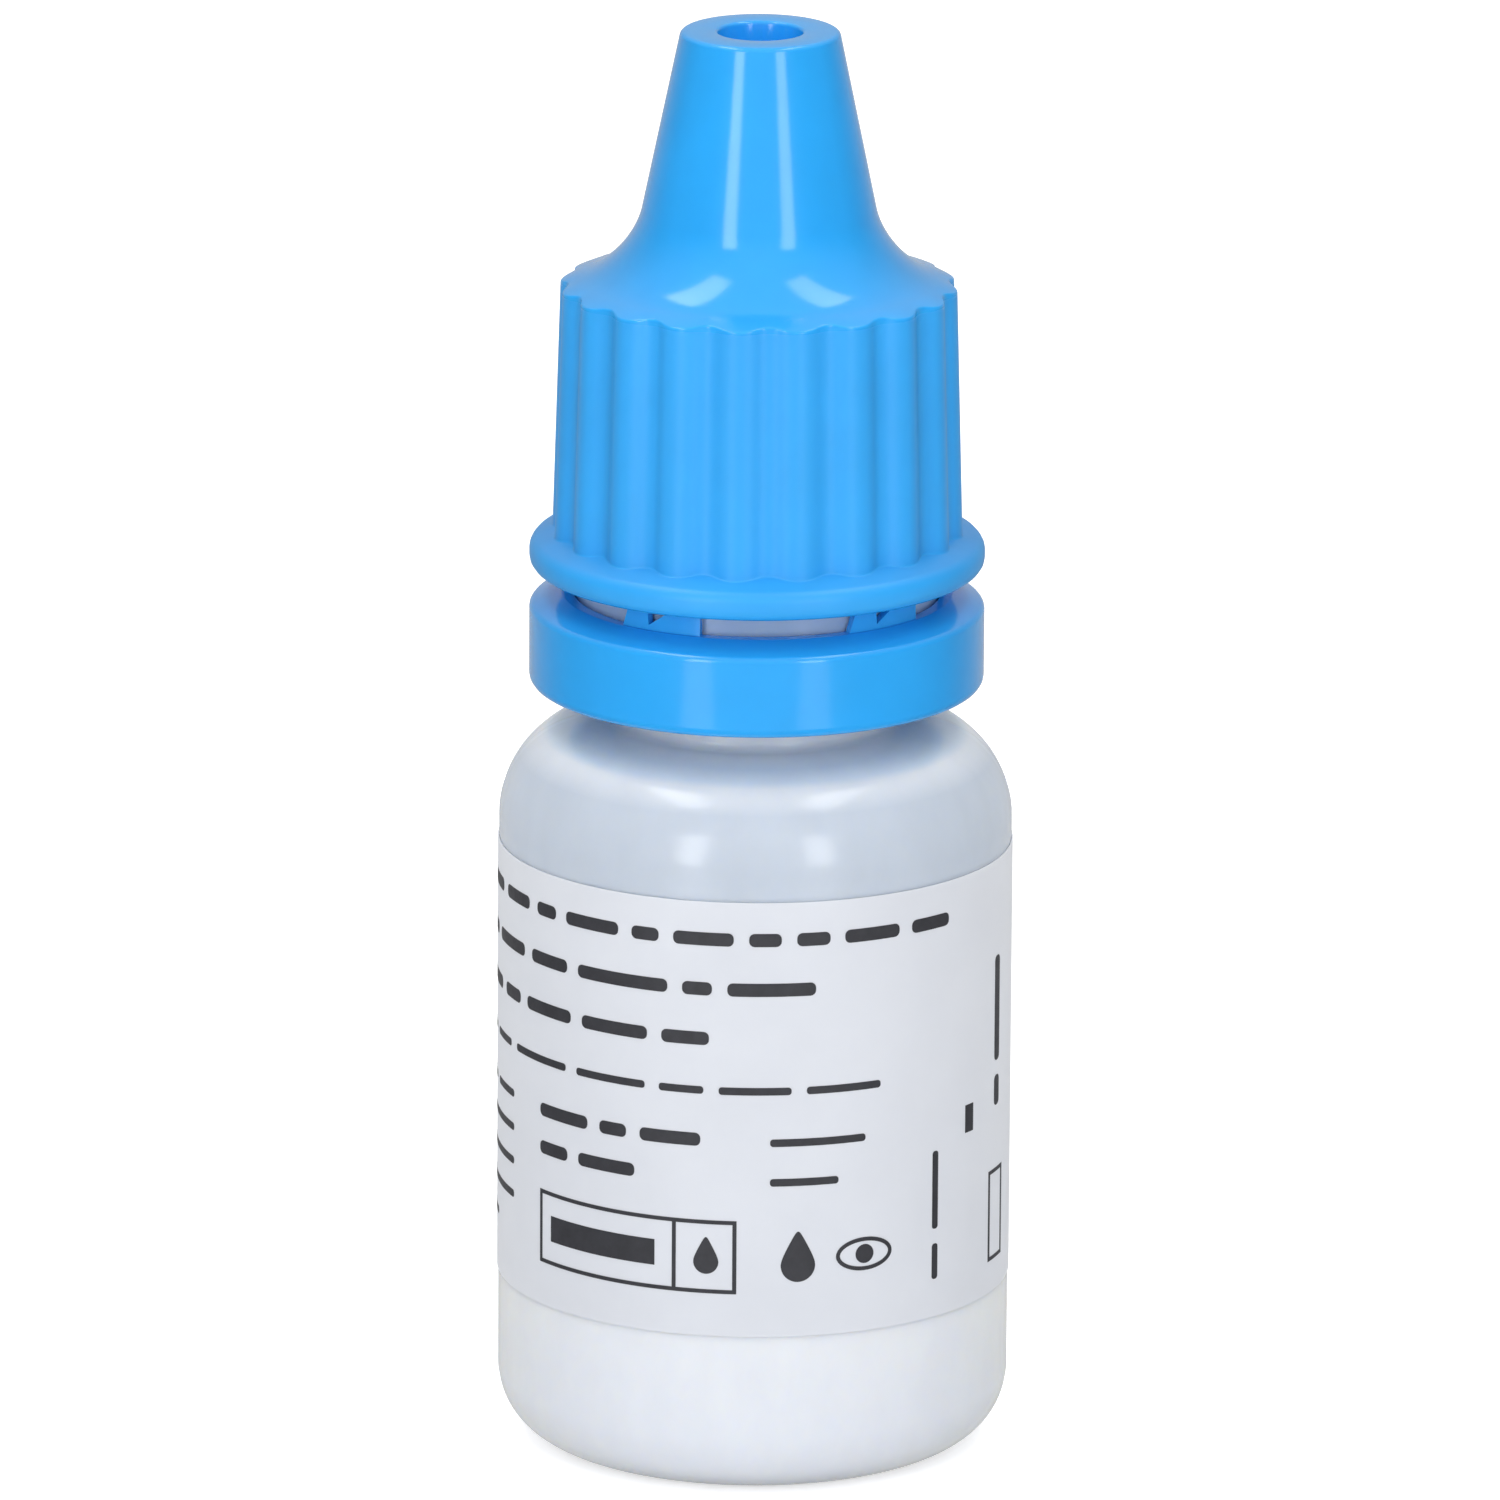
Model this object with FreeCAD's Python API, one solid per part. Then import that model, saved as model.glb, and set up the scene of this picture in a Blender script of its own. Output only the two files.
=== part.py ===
"""Eye drop bottle with a dropper insert, a label and a tamper-evident screw cap.

Millimetres, +Z up. The origin is the centre of the base, and the front of the object faces -Y.
The pieces stack up from the base: body, neck, tamper ring, cap flange, skirt, deck and nose.
"""
import FreeCAD
import Part
import math
import os

# Bottle body
BODY_DIAMETER = 25.0
BODY_HEIGHT = 36.4
BODY_WALL = 1.0
BASE_WALL = 1.0
BASE_CORNER_RADIUS = 3.4
BASE_PUSH_UP = 0.8
FOOT_WIDTH = 1.9
FOOT_SLOPE_WIDTH = 1.2
FOOT_EDGE_RADIUS = 0.4
SHOULDER_RADIUS = 4.95
FILL_HEADSPACE = 5.25
FILL_CLEARANCE = 0.03

# Bottle neck
NECK_DIAMETER = 13.8
NECK_HEIGHT = 18.95
NECK_WALL = 1.7
NECK_ROOT_RADIUS = 0.4
NECK_RIM_RADIUS = 0.25
COLLAR_WIDTH = 1.92
COLLAR_EDGE_RADIUS = 0.2
COLLAR_GAP = 0.25

# Screw thread between neck and cap
THREAD_PITCH = 3.0
THREAD_DEPTH = 0.95
THREAD_ROOT_WIDTH = 1.5
THREAD_CREST_WIDTH = 0.7
THREAD_CLEARANCE = 0.2
THREAD_SINK = 0.3
THREAD_LIFT = 2.6
THREAD_RIM_GAP = 3.1
THREAD_LEAD_IN_TURNS = 0.5

# Label film
LABEL_BOTTOM_MARGIN = 5.1
LABEL_TOP_MARGIN = 1.1
LABEL_THICKNESS = 0.08
LABEL_GLUE = 0.02
LABEL_SEAM = 4.0

# Tamper ring
RING_LIFT = 1.7
RING_HEIGHT = 4.0
RING_WALL = 1.1
RING_CROWN = 0.6
RING_BOTTOM_RADIUS = 0.5
RING_TOP_RADIUS = 0.35
RING_EDGE_RADIUS = 0.15
RING_CLEARANCE = 0.17
RING_PLAY = 0.25
LIP_LIFT = 1.95
LIP_HEIGHT = 1.1
LIP_HOLD = 0.55

# Break-away bridges, each with a ramp tooth behind a notch
BRIDGE_COUNT = 5
BRIDGE_HEIGHT = 1.2
BRIDGE_THICKNESS = 0.4
BRIDGE_ARC = 24.0
BRIDGE_PHASE = -29.0
BRIDGE_OUTLINE_SHARES = (
    (-0.1, 0.0),
    (1.0, 0.0),
    (1.0, 0.8),
    (0.57, 0.8),
    (0.3, 0.2),
    (0.28, 1.0),
    (0.0, 1.0),
)

# Screw cap
CAP_WALL = 1.2
RIB_COUNT = 20
RIB_DEPTH = 0.42
RIB_PHASE = 12.0
RIB_CREST_SHARE = 0.62
SKIRT_DRAFT_ANGLE = 1.6
FLANGE_WIDTH = 1.07
FLANGE_HEIGHT = 1.35
FLANGE_EDGE_RADIUS = 0.62
FLANGE_SLOPE_HEIGHT = 0.6
DECK_WALL = 1.5
DECK_ANGLE = 20.8
NOSE_WEB = 1.65
NOSE_TIP_DIAMETER = 7.72
NOSE_HALF_ANGLE = 11.75
NOSE_FILLET_RADIUS = 4.7
NOSE_EDGE_RADIUS = 0.28
NOSE_WALL = 1.3
RECESS_DIAMETER = 4.1
RECESS_DEPTH = 2.4
RECESS_TAPER = 0.15
RECESS_EDGE_RADIUS = 0.2
CAVITY_CORNER_RADIUS = 0.8

# Dropper insert and the cap's pin that closes it
SEAT_CLEARANCE = 0.1
INSERT_FLANGE_WIDTH = 1.1
INSERT_FLANGE_HEIGHT = 1.0
INSERT_EDGE_RADIUS = 0.2
PLUG_DEPTH = 7.0
PLUG_CLEARANCE = 0.02
PLUG_WALL = 1.2
SPOUT_HEIGHT = 9.6
SPOUT_BASE_DIAMETER = 7.2
SPOUT_TIP_DIAMETER = 3.4
SPOUT_TIP_RADIUS = 0.4
SPOUT_WALL = 1.0
SPOUT_HEADROOM = 0.6
ORIFICE_DIAMETER = 0.6
ORIFICE_LENGTH = 1.2
DROP_CUP_DIAMETER = 1.6
DROP_CUP_DEPTH = 0.9
PIN_CLEARANCE = 0.2
PIN_ENTRY = 0.6
PIN_EDGE_RADIUS = 0.2

# How far cutting shapes run past what they cut
OVERRUN = 2.0

# Radii that follow from the sizes above
BODY_R = BODY_DIAMETER / 2
CAVITY_R = BODY_R - BODY_WALL
NECK_R = NECK_DIAMETER / 2
BORE_R = NECK_R - NECK_WALL
COLLAR_R = NECK_R + COLLAR_WIDTH
CAP_BORE_R = NECK_R + THREAD_DEPTH + THREAD_CLEARANCE
SKIRT_TOP_R = CAP_BORE_R + CAP_WALL + RIB_DEPTH
NOSE_TIP_R = NOSE_TIP_DIAMETER / 2
ORIFICE_R = ORIFICE_DIAMETER / 2
DROP_CUP_R = DROP_CUP_DIAMETER / 2

# Heights that follow, from the base up
FLOOR_Z = BASE_PUSH_UP + BASE_WALL
SHOULDER_Z = BODY_HEIGHT - SHOULDER_RADIUS
FILL_Z = SHOULDER_Z - FILL_HEADSPACE
LABEL_BOTTOM_Z = BASE_CORNER_RADIUS + LABEL_BOTTOM_MARGIN
LABEL_TOP_Z = SHOULDER_Z - LABEL_TOP_MARGIN
RING_BOTTOM_Z = BODY_HEIGHT + RING_LIFT
LIP_BOTTOM_Z = RING_BOTTOM_Z + LIP_LIFT
LIP_TOP_Z = LIP_BOTTOM_Z + LIP_HEIGHT
RING_TOP_Z = RING_BOTTOM_Z + RING_HEIGHT
CROWN_Z = RING_TOP_Z + RING_CROWN
FLANGE_BOTTOM_Z = CROWN_Z + BRIDGE_HEIGHT
FLANGE_TOP_Z = FLANGE_BOTTOM_Z + FLANGE_HEIGHT
COLLAR_BOTTOM_Z = LIP_TOP_Z + RING_PLAY
COLLAR_TOP_Z = FLANGE_BOTTOM_Z - COLLAR_GAP
NECK_THREAD_Z = COLLAR_TOP_Z + THREAD_LIFT
CAP_THREAD_Z = NECK_THREAD_Z + THREAD_PITCH / 2
RIM_Z = BODY_HEIGHT + NECK_HEIGHT
INSERT_TOP_Z = RIM_Z + INSERT_FLANGE_HEIGHT
SPOUT_TIP_Z = INSERT_TOP_Z + SPOUT_HEIGHT
DECK_UNDER_Z = INSERT_TOP_Z + SEAT_CLEARANCE
DECK_Z = DECK_UNDER_Z + DECK_WALL
CAVITY_TOP_Z = SPOUT_TIP_Z + SPOUT_HEADROOM
RECESS_FLOOR_Z = CAVITY_TOP_Z + NOSE_WEB
NOSE_TIP_Z = RECESS_FLOOR_Z + RECESS_DEPTH

# The neck's thread ends below the rim, and the cap's starts half a turn further up
NECK_THREAD_TURNS = (RIM_Z - THREAD_RIM_GAP - NECK_THREAD_Z) / THREAD_PITCH
CAP_THREAD_TURNS = NECK_THREAD_TURNS - THREAD_LEAD_IN_TURNS

# The skirt widens downwards by its draft, and flange and ring share one outer radius
SKIRT_SLOPE = math.tan(math.radians(SKIRT_DRAFT_ANGLE))
SKIRT_FOOT_R = SKIRT_TOP_R + (DECK_Z - FLANGE_TOP_Z) * SKIRT_SLOPE
FLANGE_R = SKIRT_FOOT_R + FLANGE_WIDTH
RING_BORE_R = COLLAR_R + RING_CLEARANCE
BRIDGE_R = RING_BORE_R + BRIDGE_THICKNESS
LAND_R = BRIDGE_R + RING_EDGE_RADIUS


def front_point(radius, angle, height):
    """Point at an angle from the front (-Y), positive towards +X."""
    turn = math.radians(angle)
    return FreeCAD.Vector(radius * math.sin(turn), -radius * math.cos(turn), height)


def fillet_reaches(points, radii):
    """How far each corner's fillet reaches along its two edges, limited by the edges' lengths."""
    count = len(points)
    reaches = []
    for i in range(count):
        back = (points[i - 1] - points[i]).normalize()
        ahead = (points[(i + 1) % count] - points[i]).normalize()
        reaches.append(radii[i] / math.tan(back.getAngle(ahead) / 2))
    limited = list(reaches)
    for i in range(count):
        j = (i + 1) % count
        wanted = reaches[i] + reaches[j]
        length = (points[j] - points[i]).Length
        if wanted > length:
            limited[i] = min(limited[i], reaches[i] * length / wanted)
            limited[j] = min(limited[j], reaches[j] * length / wanted)
    return limited


def rounded_outline(corners):
    """Closed wire through (radius, height, fillet) corners in the XZ plane."""
    points = [FreeCAD.Vector(radius, 0, height) for radius, height, fillet in corners]
    reaches = fillet_reaches(points, [fillet for radius, height, fillet in corners])
    starts, ends, arcs = [], [], []
    for i, point in enumerate(points):
        back = (points[i - 1] - point).normalize()
        ahead = (points[(i + 1) % len(points)] - point).normalize()
        starts.append(point + back * reaches[i])
        ends.append(point + ahead * reaches[i])
        half = back.getAngle(ahead) / 2
        inward = (back + ahead).normalize()
        middle = point + inward * (reaches[i] / math.cos(half) - reaches[i] * math.tan(half))
        arcs.append(Part.Arc(starts[i], middle, ends[i]).toShape() if reaches[i] > 0 else None)
    edges = []
    for i in range(len(points)):
        if arcs[i]:
            edges.append(arcs[i])
        following = starts[(i + 1) % len(points)]
        if not ends[i].isEqual(following, Part.Precision.confusion()):
            edges.append(Part.makeLine(ends[i], following))
    return Part.Wire(edges)


def turned(corners, angle=360):
    """Solid of revolution about +Z from rounded (radius, height, fillet) corners."""
    face = Part.Face(rounded_outline(corners))
    return face.revolve(FreeCAD.Vector(0, 0, 0), FreeCAD.Vector(0, 0, 1), angle)


def thread_ridge(root_radius, outward, start_height, turns):
    """Right-hand thread ridge on a wall, standing outward (1) or inward (-1)."""
    base = root_radius - outward * THREAD_SINK
    crest = root_radius + outward * THREAD_DEPTH
    corners = (
        FreeCAD.Vector(base, 0, -THREAD_ROOT_WIDTH / 2),
        FreeCAD.Vector(crest, 0, -THREAD_CREST_WIDTH / 2),
        FreeCAD.Vector(crest, 0, THREAD_CREST_WIDTH / 2),
        FreeCAD.Vector(base, 0, THREAD_ROOT_WIDTH / 2),
    )
    section = Part.makePolygon(corners + corners[:1])
    helix = Part.makeHelix(THREAD_PITCH, THREAD_PITCH * turns, root_radius)
    ridge = helix.makePipeShell([section], True, True)
    return ridge.translated(FreeCAD.Vector(0, 0, start_height))


def make_bottle():
    """Squeeze bottle: body, shoulder, neck with collar and thread, hollow to the rim."""
    foot_r = BODY_R - BASE_CORNER_RADIUS - FOOT_WIDTH
    outside = turned((
        (0, BASE_PUSH_UP, 0),
        (foot_r - FOOT_SLOPE_WIDTH, BASE_PUSH_UP, FOOT_EDGE_RADIUS),
        (foot_r, 0, FOOT_EDGE_RADIUS),
        (BODY_R, 0, BASE_CORNER_RADIUS),
        (BODY_R, BODY_HEIGHT, SHOULDER_RADIUS),
        (NECK_R, BODY_HEIGHT, NECK_ROOT_RADIUS),
        (NECK_R, RIM_Z, NECK_RIM_RADIUS),
        (0, RIM_Z, 0),
    ))
    collar = turned((
        (BORE_R, COLLAR_BOTTOM_Z, 0),
        (COLLAR_R, COLLAR_BOTTOM_Z, COLLAR_EDGE_RADIUS),
        (COLLAR_R, COLLAR_TOP_Z, COLLAR_EDGE_RADIUS),
        (BORE_R, COLLAR_TOP_Z, 0),
    ))
    hollow = turned((
        (0, FLOOR_Z, 0),
        (CAVITY_R, FLOOR_Z, BASE_CORNER_RADIUS - BODY_WALL),
        (CAVITY_R, BODY_HEIGHT - BODY_WALL, SHOULDER_RADIUS - BODY_WALL),
        (BORE_R, BODY_HEIGHT - BODY_WALL, NECK_ROOT_RADIUS),
        (BORE_R, RIM_Z + OVERRUN, 0),
        (0, RIM_Z + OVERRUN, 0),
    ))
    ridge = thread_ridge(NECK_R, 1, NECK_THREAD_Z, NECK_THREAD_TURNS)
    return outside.fuse([collar, ridge]).cut(hollow)


def make_solution():
    """Liquid contents, up to the fill line below the shoulder."""
    return turned((
        (0, FLOOR_Z + FILL_CLEARANCE, 0),
        (CAVITY_R - FILL_CLEARANCE, FLOOR_Z + FILL_CLEARANCE, BASE_CORNER_RADIUS - BODY_WALL),
        (CAVITY_R - FILL_CLEARANCE, FILL_Z, 0),
        (0, FILL_Z, 0),
    ))


def make_label():
    """Film wrapped round the body, with a bare seam centred at the back (+Y)."""
    inner = BODY_R + LABEL_GLUE
    outer = inner + LABEL_THICKNESS
    seam_angle = math.degrees(LABEL_SEAM / outer)
    film = turned((
        (inner, LABEL_BOTTOM_Z, 0),
        (outer, LABEL_BOTTOM_Z, 0),
        (outer, LABEL_TOP_Z, 0),
        (inner, LABEL_TOP_Z, 0),
    ), 360 - seam_angle)
    return film.rotated(FreeCAD.Vector(0, 0, 0), FreeCAD.Vector(0, 0, 1), 90 + seam_angle / 2)


def make_dropper_insert():
    """Nozzle: plug in the neck bore, flange on the rim, spout with orifice and drop cup."""
    plug_r = BORE_R - PLUG_CLEARANCE
    plug_bottom = RIM_Z - PLUG_DEPTH
    spout_base_r = SPOUT_BASE_DIAMETER / 2
    spout_tip_r = SPOUT_TIP_DIAMETER / 2
    cup_floor = SPOUT_TIP_Z - DROP_CUP_DEPTH
    throat_top = cup_floor - ORIFICE_LENGTH
    outside = turned((
        (0, plug_bottom, 0),
        (plug_r, plug_bottom, INSERT_EDGE_RADIUS),
        (plug_r, RIM_Z, 0),
        (BORE_R + INSERT_FLANGE_WIDTH, RIM_Z, INSERT_EDGE_RADIUS),
        (BORE_R + INSERT_FLANGE_WIDTH, INSERT_TOP_Z, INSERT_EDGE_RADIUS),
        (spout_base_r, INSERT_TOP_Z, INSERT_EDGE_RADIUS),
        (spout_tip_r, SPOUT_TIP_Z, SPOUT_TIP_RADIUS),
        (0, SPOUT_TIP_Z, 0),
    ))
    throat = turned((
        (0, plug_bottom - OVERRUN, 0),
        (plug_r - PLUG_WALL, plug_bottom - OVERRUN, 0),
        (plug_r - PLUG_WALL, RIM_Z, INSERT_EDGE_RADIUS),
        (spout_base_r - SPOUT_WALL, INSERT_TOP_Z, INSERT_EDGE_RADIUS),
        (spout_tip_r - SPOUT_WALL, throat_top, 0),
        (ORIFICE_R, throat_top, 0),
        (ORIFICE_R, cup_floor, 0),
        (DROP_CUP_R, cup_floor, 0),
        (DROP_CUP_R, SPOUT_TIP_Z + OVERRUN, 0),
        (0, SPOUT_TIP_Z + OVERRUN, 0),
    ))
    return outside.cut(throat)


def make_tamper_ring():
    """Ring with a crowned top and an inner lip caught under the neck collar."""
    wall_r = FLANGE_R - RING_WALL
    lip_r = COLLAR_R - LIP_HOLD
    return turned((
        (wall_r, RING_BOTTOM_Z, RING_EDGE_RADIUS),
        (FLANGE_R, RING_BOTTOM_Z, RING_BOTTOM_RADIUS),
        (FLANGE_R, RING_TOP_Z, RING_TOP_RADIUS),
        (LAND_R, CROWN_Z, RING_EDGE_RADIUS),
        (RING_BORE_R, CROWN_Z, 0),
        (RING_BORE_R, LIP_TOP_Z, 0),
        (lip_r, LIP_TOP_Z, RING_EDGE_RADIUS),
        (lip_r, LIP_BOTTOM_Z, RING_EDGE_RADIUS),
        (wall_r, LIP_BOTTOM_Z, RING_EDGE_RADIUS),
    ))


def make_tamper_bridges():
    """Bridges from the ring's land to the cap flange, each with a ramp tooth beside it."""
    land = turned((
        (RING_BORE_R, CROWN_Z, 0),
        (BRIDGE_R, CROWN_Z, 0),
        (BRIDGE_R, FLANGE_BOTTOM_Z, 0),
        (RING_BORE_R, FLANGE_BOTTOM_Z, 0),
    ))
    first = BRIDGE_PHASE - BRIDGE_ARC / 2
    pitch = 360 / BRIDGE_COUNT
    bridges = [land.common(bridge_wedge(first + pitch * k)) for k in range(BRIDGE_COUNT)]
    return Part.makeCompound(bridges)


def bridge_wedge(first_angle):
    """Outline of one bridge and its tooth, drawn on the land and pulled through its wall."""
    near, far = [], []
    for arc_share, height_share in BRIDGE_OUTLINE_SHARES:
        angle = first_angle + BRIDGE_ARC * arc_share
        height = CROWN_Z + BRIDGE_HEIGHT * height_share
        near.append(front_point(RING_BORE_R - OVERRUN, angle, height))
        far.append(front_point(BRIDGE_R + OVERRUN, angle, height))
    sections = [Part.makePolygon(points + points[:1]) for points in (near, far)]
    return Part.makeLoft(sections, True, True)


def scallop_outline(crest_radius, height):
    """Closed wire of soft convex ribs and rounded grooves round the skirt."""
    pitch = 360 / RIB_COUNT
    crest_half = pitch / 2 * RIB_CREST_SHARE
    groove_radius = crest_radius - RIB_DEPTH
    side_radius = crest_radius - RIB_DEPTH * RIB_CREST_SHARE
    edges = []
    for k in range(RIB_COUNT):
        middle = RIB_PHASE + pitch * k
        side = front_point(side_radius, middle - crest_half, height)
        crest = front_point(crest_radius, middle, height)
        far_side = front_point(side_radius, middle + crest_half, height)
        groove = front_point(groove_radius, middle + pitch / 2, height)
        next_side = front_point(side_radius, middle + pitch - crest_half, height)
        edges.append(Part.Arc(side, crest, far_side).toShape())
        edges.append(Part.Arc(far_side, groove, next_side).toShape())
    return Part.Wire(edges)


def nose_radius(height):
    """Outer radius of the nose cone at a height."""
    return NOSE_TIP_R + (NOSE_TIP_Z - height) * math.tan(math.radians(NOSE_HALF_ANGLE))


def knee_height():
    """Height where the deck's slope meets the nose cone, before the fillet."""
    rise = math.tan(math.radians(DECK_ANGLE))
    taper = math.tan(math.radians(NOSE_HALF_ANGLE))
    return DECK_Z + (SKIRT_TOP_R - nose_radius(DECK_Z)) * rise / (1 - rise * taper)


def make_screw_cap():
    """Cap: scalloped skirt under a sloping deck, flange bead, conical nose, bore and thread."""
    foot_z = FLANGE_BOTTOM_Z + FLANGE_HEIGHT / 2
    shell_r = SKIRT_TOP_R + OVERRUN
    shell_z = DECK_Z - OVERRUN * math.tan(math.radians(DECK_ANGLE))
    knee_z = knee_height()
    recess_r = RECESS_DIAMETER / 2
    skirt = Part.makeLoft([
        scallop_outline(SKIRT_TOP_R + (DECK_Z - foot_z) * SKIRT_SLOPE, foot_z),
        scallop_outline(SKIRT_TOP_R - (NOSE_TIP_Z - DECK_Z) * SKIRT_SLOPE, NOSE_TIP_Z),
    ], True, True)
    top = turned((
        (0, foot_z, 0),
        (shell_r, foot_z, 0),
        (shell_r, shell_z, 0),
        (nose_radius(knee_z), knee_z, NOSE_FILLET_RADIUS),
        (NOSE_TIP_R, NOSE_TIP_Z, NOSE_EDGE_RADIUS),
        (recess_r, NOSE_TIP_Z, RECESS_EDGE_RADIUS),
        (recess_r - RECESS_TAPER, RECESS_FLOOR_Z, RECESS_EDGE_RADIUS),
        (0, RECESS_FLOOR_Z, 0),
    ))
    flange = turned((
        (0, FLANGE_BOTTOM_Z, 0),
        (FLANGE_R, FLANGE_BOTTOM_Z, FLANGE_EDGE_RADIUS),
        (FLANGE_R, FLANGE_TOP_Z, FLANGE_EDGE_RADIUS),
        (SKIRT_FOOT_R - RIB_DEPTH, FLANGE_TOP_Z + FLANGE_SLOPE_HEIGHT, 0),
        (0, FLANGE_TOP_Z + FLANGE_SLOPE_HEIGHT, 0),
    ))
    ridge = thread_ridge(CAP_BORE_R, -1, CAP_THREAD_Z, CAP_THREAD_TURNS)
    return skirt.common(top).fuse(flange).cut(cap_cavity()).fuse(ridge)


def cap_cavity():
    """Space in the cap: bore over the neck, cone over the spout, round the sealing pin."""
    pin_r = DROP_CUP_R - PIN_CLEARANCE
    pin_end = SPOUT_TIP_Z - PIN_ENTRY
    return turned((
        (0, FLANGE_BOTTOM_Z - OVERRUN, 0),
        (CAP_BORE_R, FLANGE_BOTTOM_Z - OVERRUN, 0),
        (CAP_BORE_R, DECK_UNDER_Z, 0),
        (nose_radius(DECK_UNDER_Z) - NOSE_WALL, DECK_UNDER_Z, 0),
        (nose_radius(CAVITY_TOP_Z) - NOSE_WALL, CAVITY_TOP_Z, CAVITY_CORNER_RADIUS),
        (pin_r, CAVITY_TOP_Z, PIN_EDGE_RADIUS),
        (pin_r, pin_end, PIN_EDGE_RADIUS),
        (0, pin_end, 0),
    ))


PIECES = {
    "bottle": make_bottle,
    "eye_drop_solution": make_solution,
    "label": make_label,
    "dropper_insert": make_dropper_insert,
    "tamper_ring": make_tamper_ring,
    "tamper_bridges": make_tamper_bridges,
    "screw_cap": make_screw_cap,
}

os.makedirs("parts", exist_ok=True)
for name, make in PIECES.items():
    shape = make()
    shape.exportStep("parts/" + name + ".step")
    print(name, "solids", len(shape.Solids), "volume", round(shape.Volume), "valid", shape.isValid())
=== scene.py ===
"""Eye drop bottle with a tamper-evident screw cap: its looks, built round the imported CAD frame."""

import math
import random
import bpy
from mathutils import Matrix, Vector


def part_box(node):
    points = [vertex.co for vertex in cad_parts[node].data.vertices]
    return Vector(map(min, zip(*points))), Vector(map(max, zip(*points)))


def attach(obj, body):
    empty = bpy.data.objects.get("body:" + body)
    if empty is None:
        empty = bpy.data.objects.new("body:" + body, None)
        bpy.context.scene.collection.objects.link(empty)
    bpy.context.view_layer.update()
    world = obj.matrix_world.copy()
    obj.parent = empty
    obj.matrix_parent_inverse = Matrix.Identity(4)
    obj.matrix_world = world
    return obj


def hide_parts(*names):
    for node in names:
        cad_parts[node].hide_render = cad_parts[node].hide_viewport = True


bl_info = {
    "name": "Eye drop bottle",
    "version": (1, 0, 0),
    "blender": (4, 5, 0),
    "location": "View3D > Sidebar > Eye drops",
    "description": "Builds the pieces of an eye drop bottle and a plain studio round it",
    "category": "Object",
}

import bmesh
import bpy
from bpy.props import FloatProperty, FloatVectorProperty, IntProperty, PointerProperty
from mathutils import Matrix, Vector

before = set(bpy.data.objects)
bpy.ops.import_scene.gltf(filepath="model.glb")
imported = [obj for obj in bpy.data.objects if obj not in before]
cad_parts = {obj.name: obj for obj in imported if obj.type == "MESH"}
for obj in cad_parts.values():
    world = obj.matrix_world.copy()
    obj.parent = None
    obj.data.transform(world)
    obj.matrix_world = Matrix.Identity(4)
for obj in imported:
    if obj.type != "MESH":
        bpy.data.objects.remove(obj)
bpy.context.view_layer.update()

MM = 0.001

# How finely curves are cut, how close two points count as one, and from which angle an edge is sharp
TURNING_STEPS = 256
RIB_STEPS = 24
THREAD_STEPS_PER_TURN = 72
FILLET_CHORD = 0.25 * MM
FILLET_SEGMENTS = (4, 28)
PRINT_CHORD = 0.4 * MM
MERGE_DISTANCE = 0.001 * MM
SHARP_ANGLE = math.radians(32)

# Boxes of the CAD nodes, which the sizes below start from
_, BOTTLE_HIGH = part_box("bottle")
SOLUTION_LOW, SOLUTION_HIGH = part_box("eye_drop_solution")
LABEL_LOW, LABEL_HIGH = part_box("label")
INSERT_LOW, INSERT_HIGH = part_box("dropper_insert")
RING_LOW, RING_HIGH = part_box("tamper_ring")
_, BRIDGES_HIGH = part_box("tamper_bridges")
CAP_LOW, CAP_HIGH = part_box("screw_cap")


def length(name, description, default):
    """Property for a length in metres."""
    return FloatProperty(name=name, description=description, default=default, min=0, unit="LENGTH")


def height(name, description, default):
    """Property for a height above the table, or another place that can lie below zero, in metres."""
    return FloatProperty(name=name, description=description, default=default, unit="LENGTH")


def angle(name, description, degrees):
    """Property for an angle, given in degrees."""
    return FloatProperty(
        name=name, description=description, default=math.radians(degrees), subtype="ANGLE", unit="ROTATION"
    )


def amount(name, description, default):
    """Property for a plain positive number, such as watts or turns."""
    return FloatProperty(name=name, description=description, default=default, min=0)


def share(name, description, default):
    """Property for a share from 0 to 1."""
    return FloatProperty(name=name, description=description, default=default, min=0, max=1, subtype="FACTOR")


def colour(name, description, default):
    """Property for a linear colour."""
    return FloatVectorProperty(
        name=name, description=description, default=default, size=3, min=0, max=1, subtype="COLOR"
    )


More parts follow.
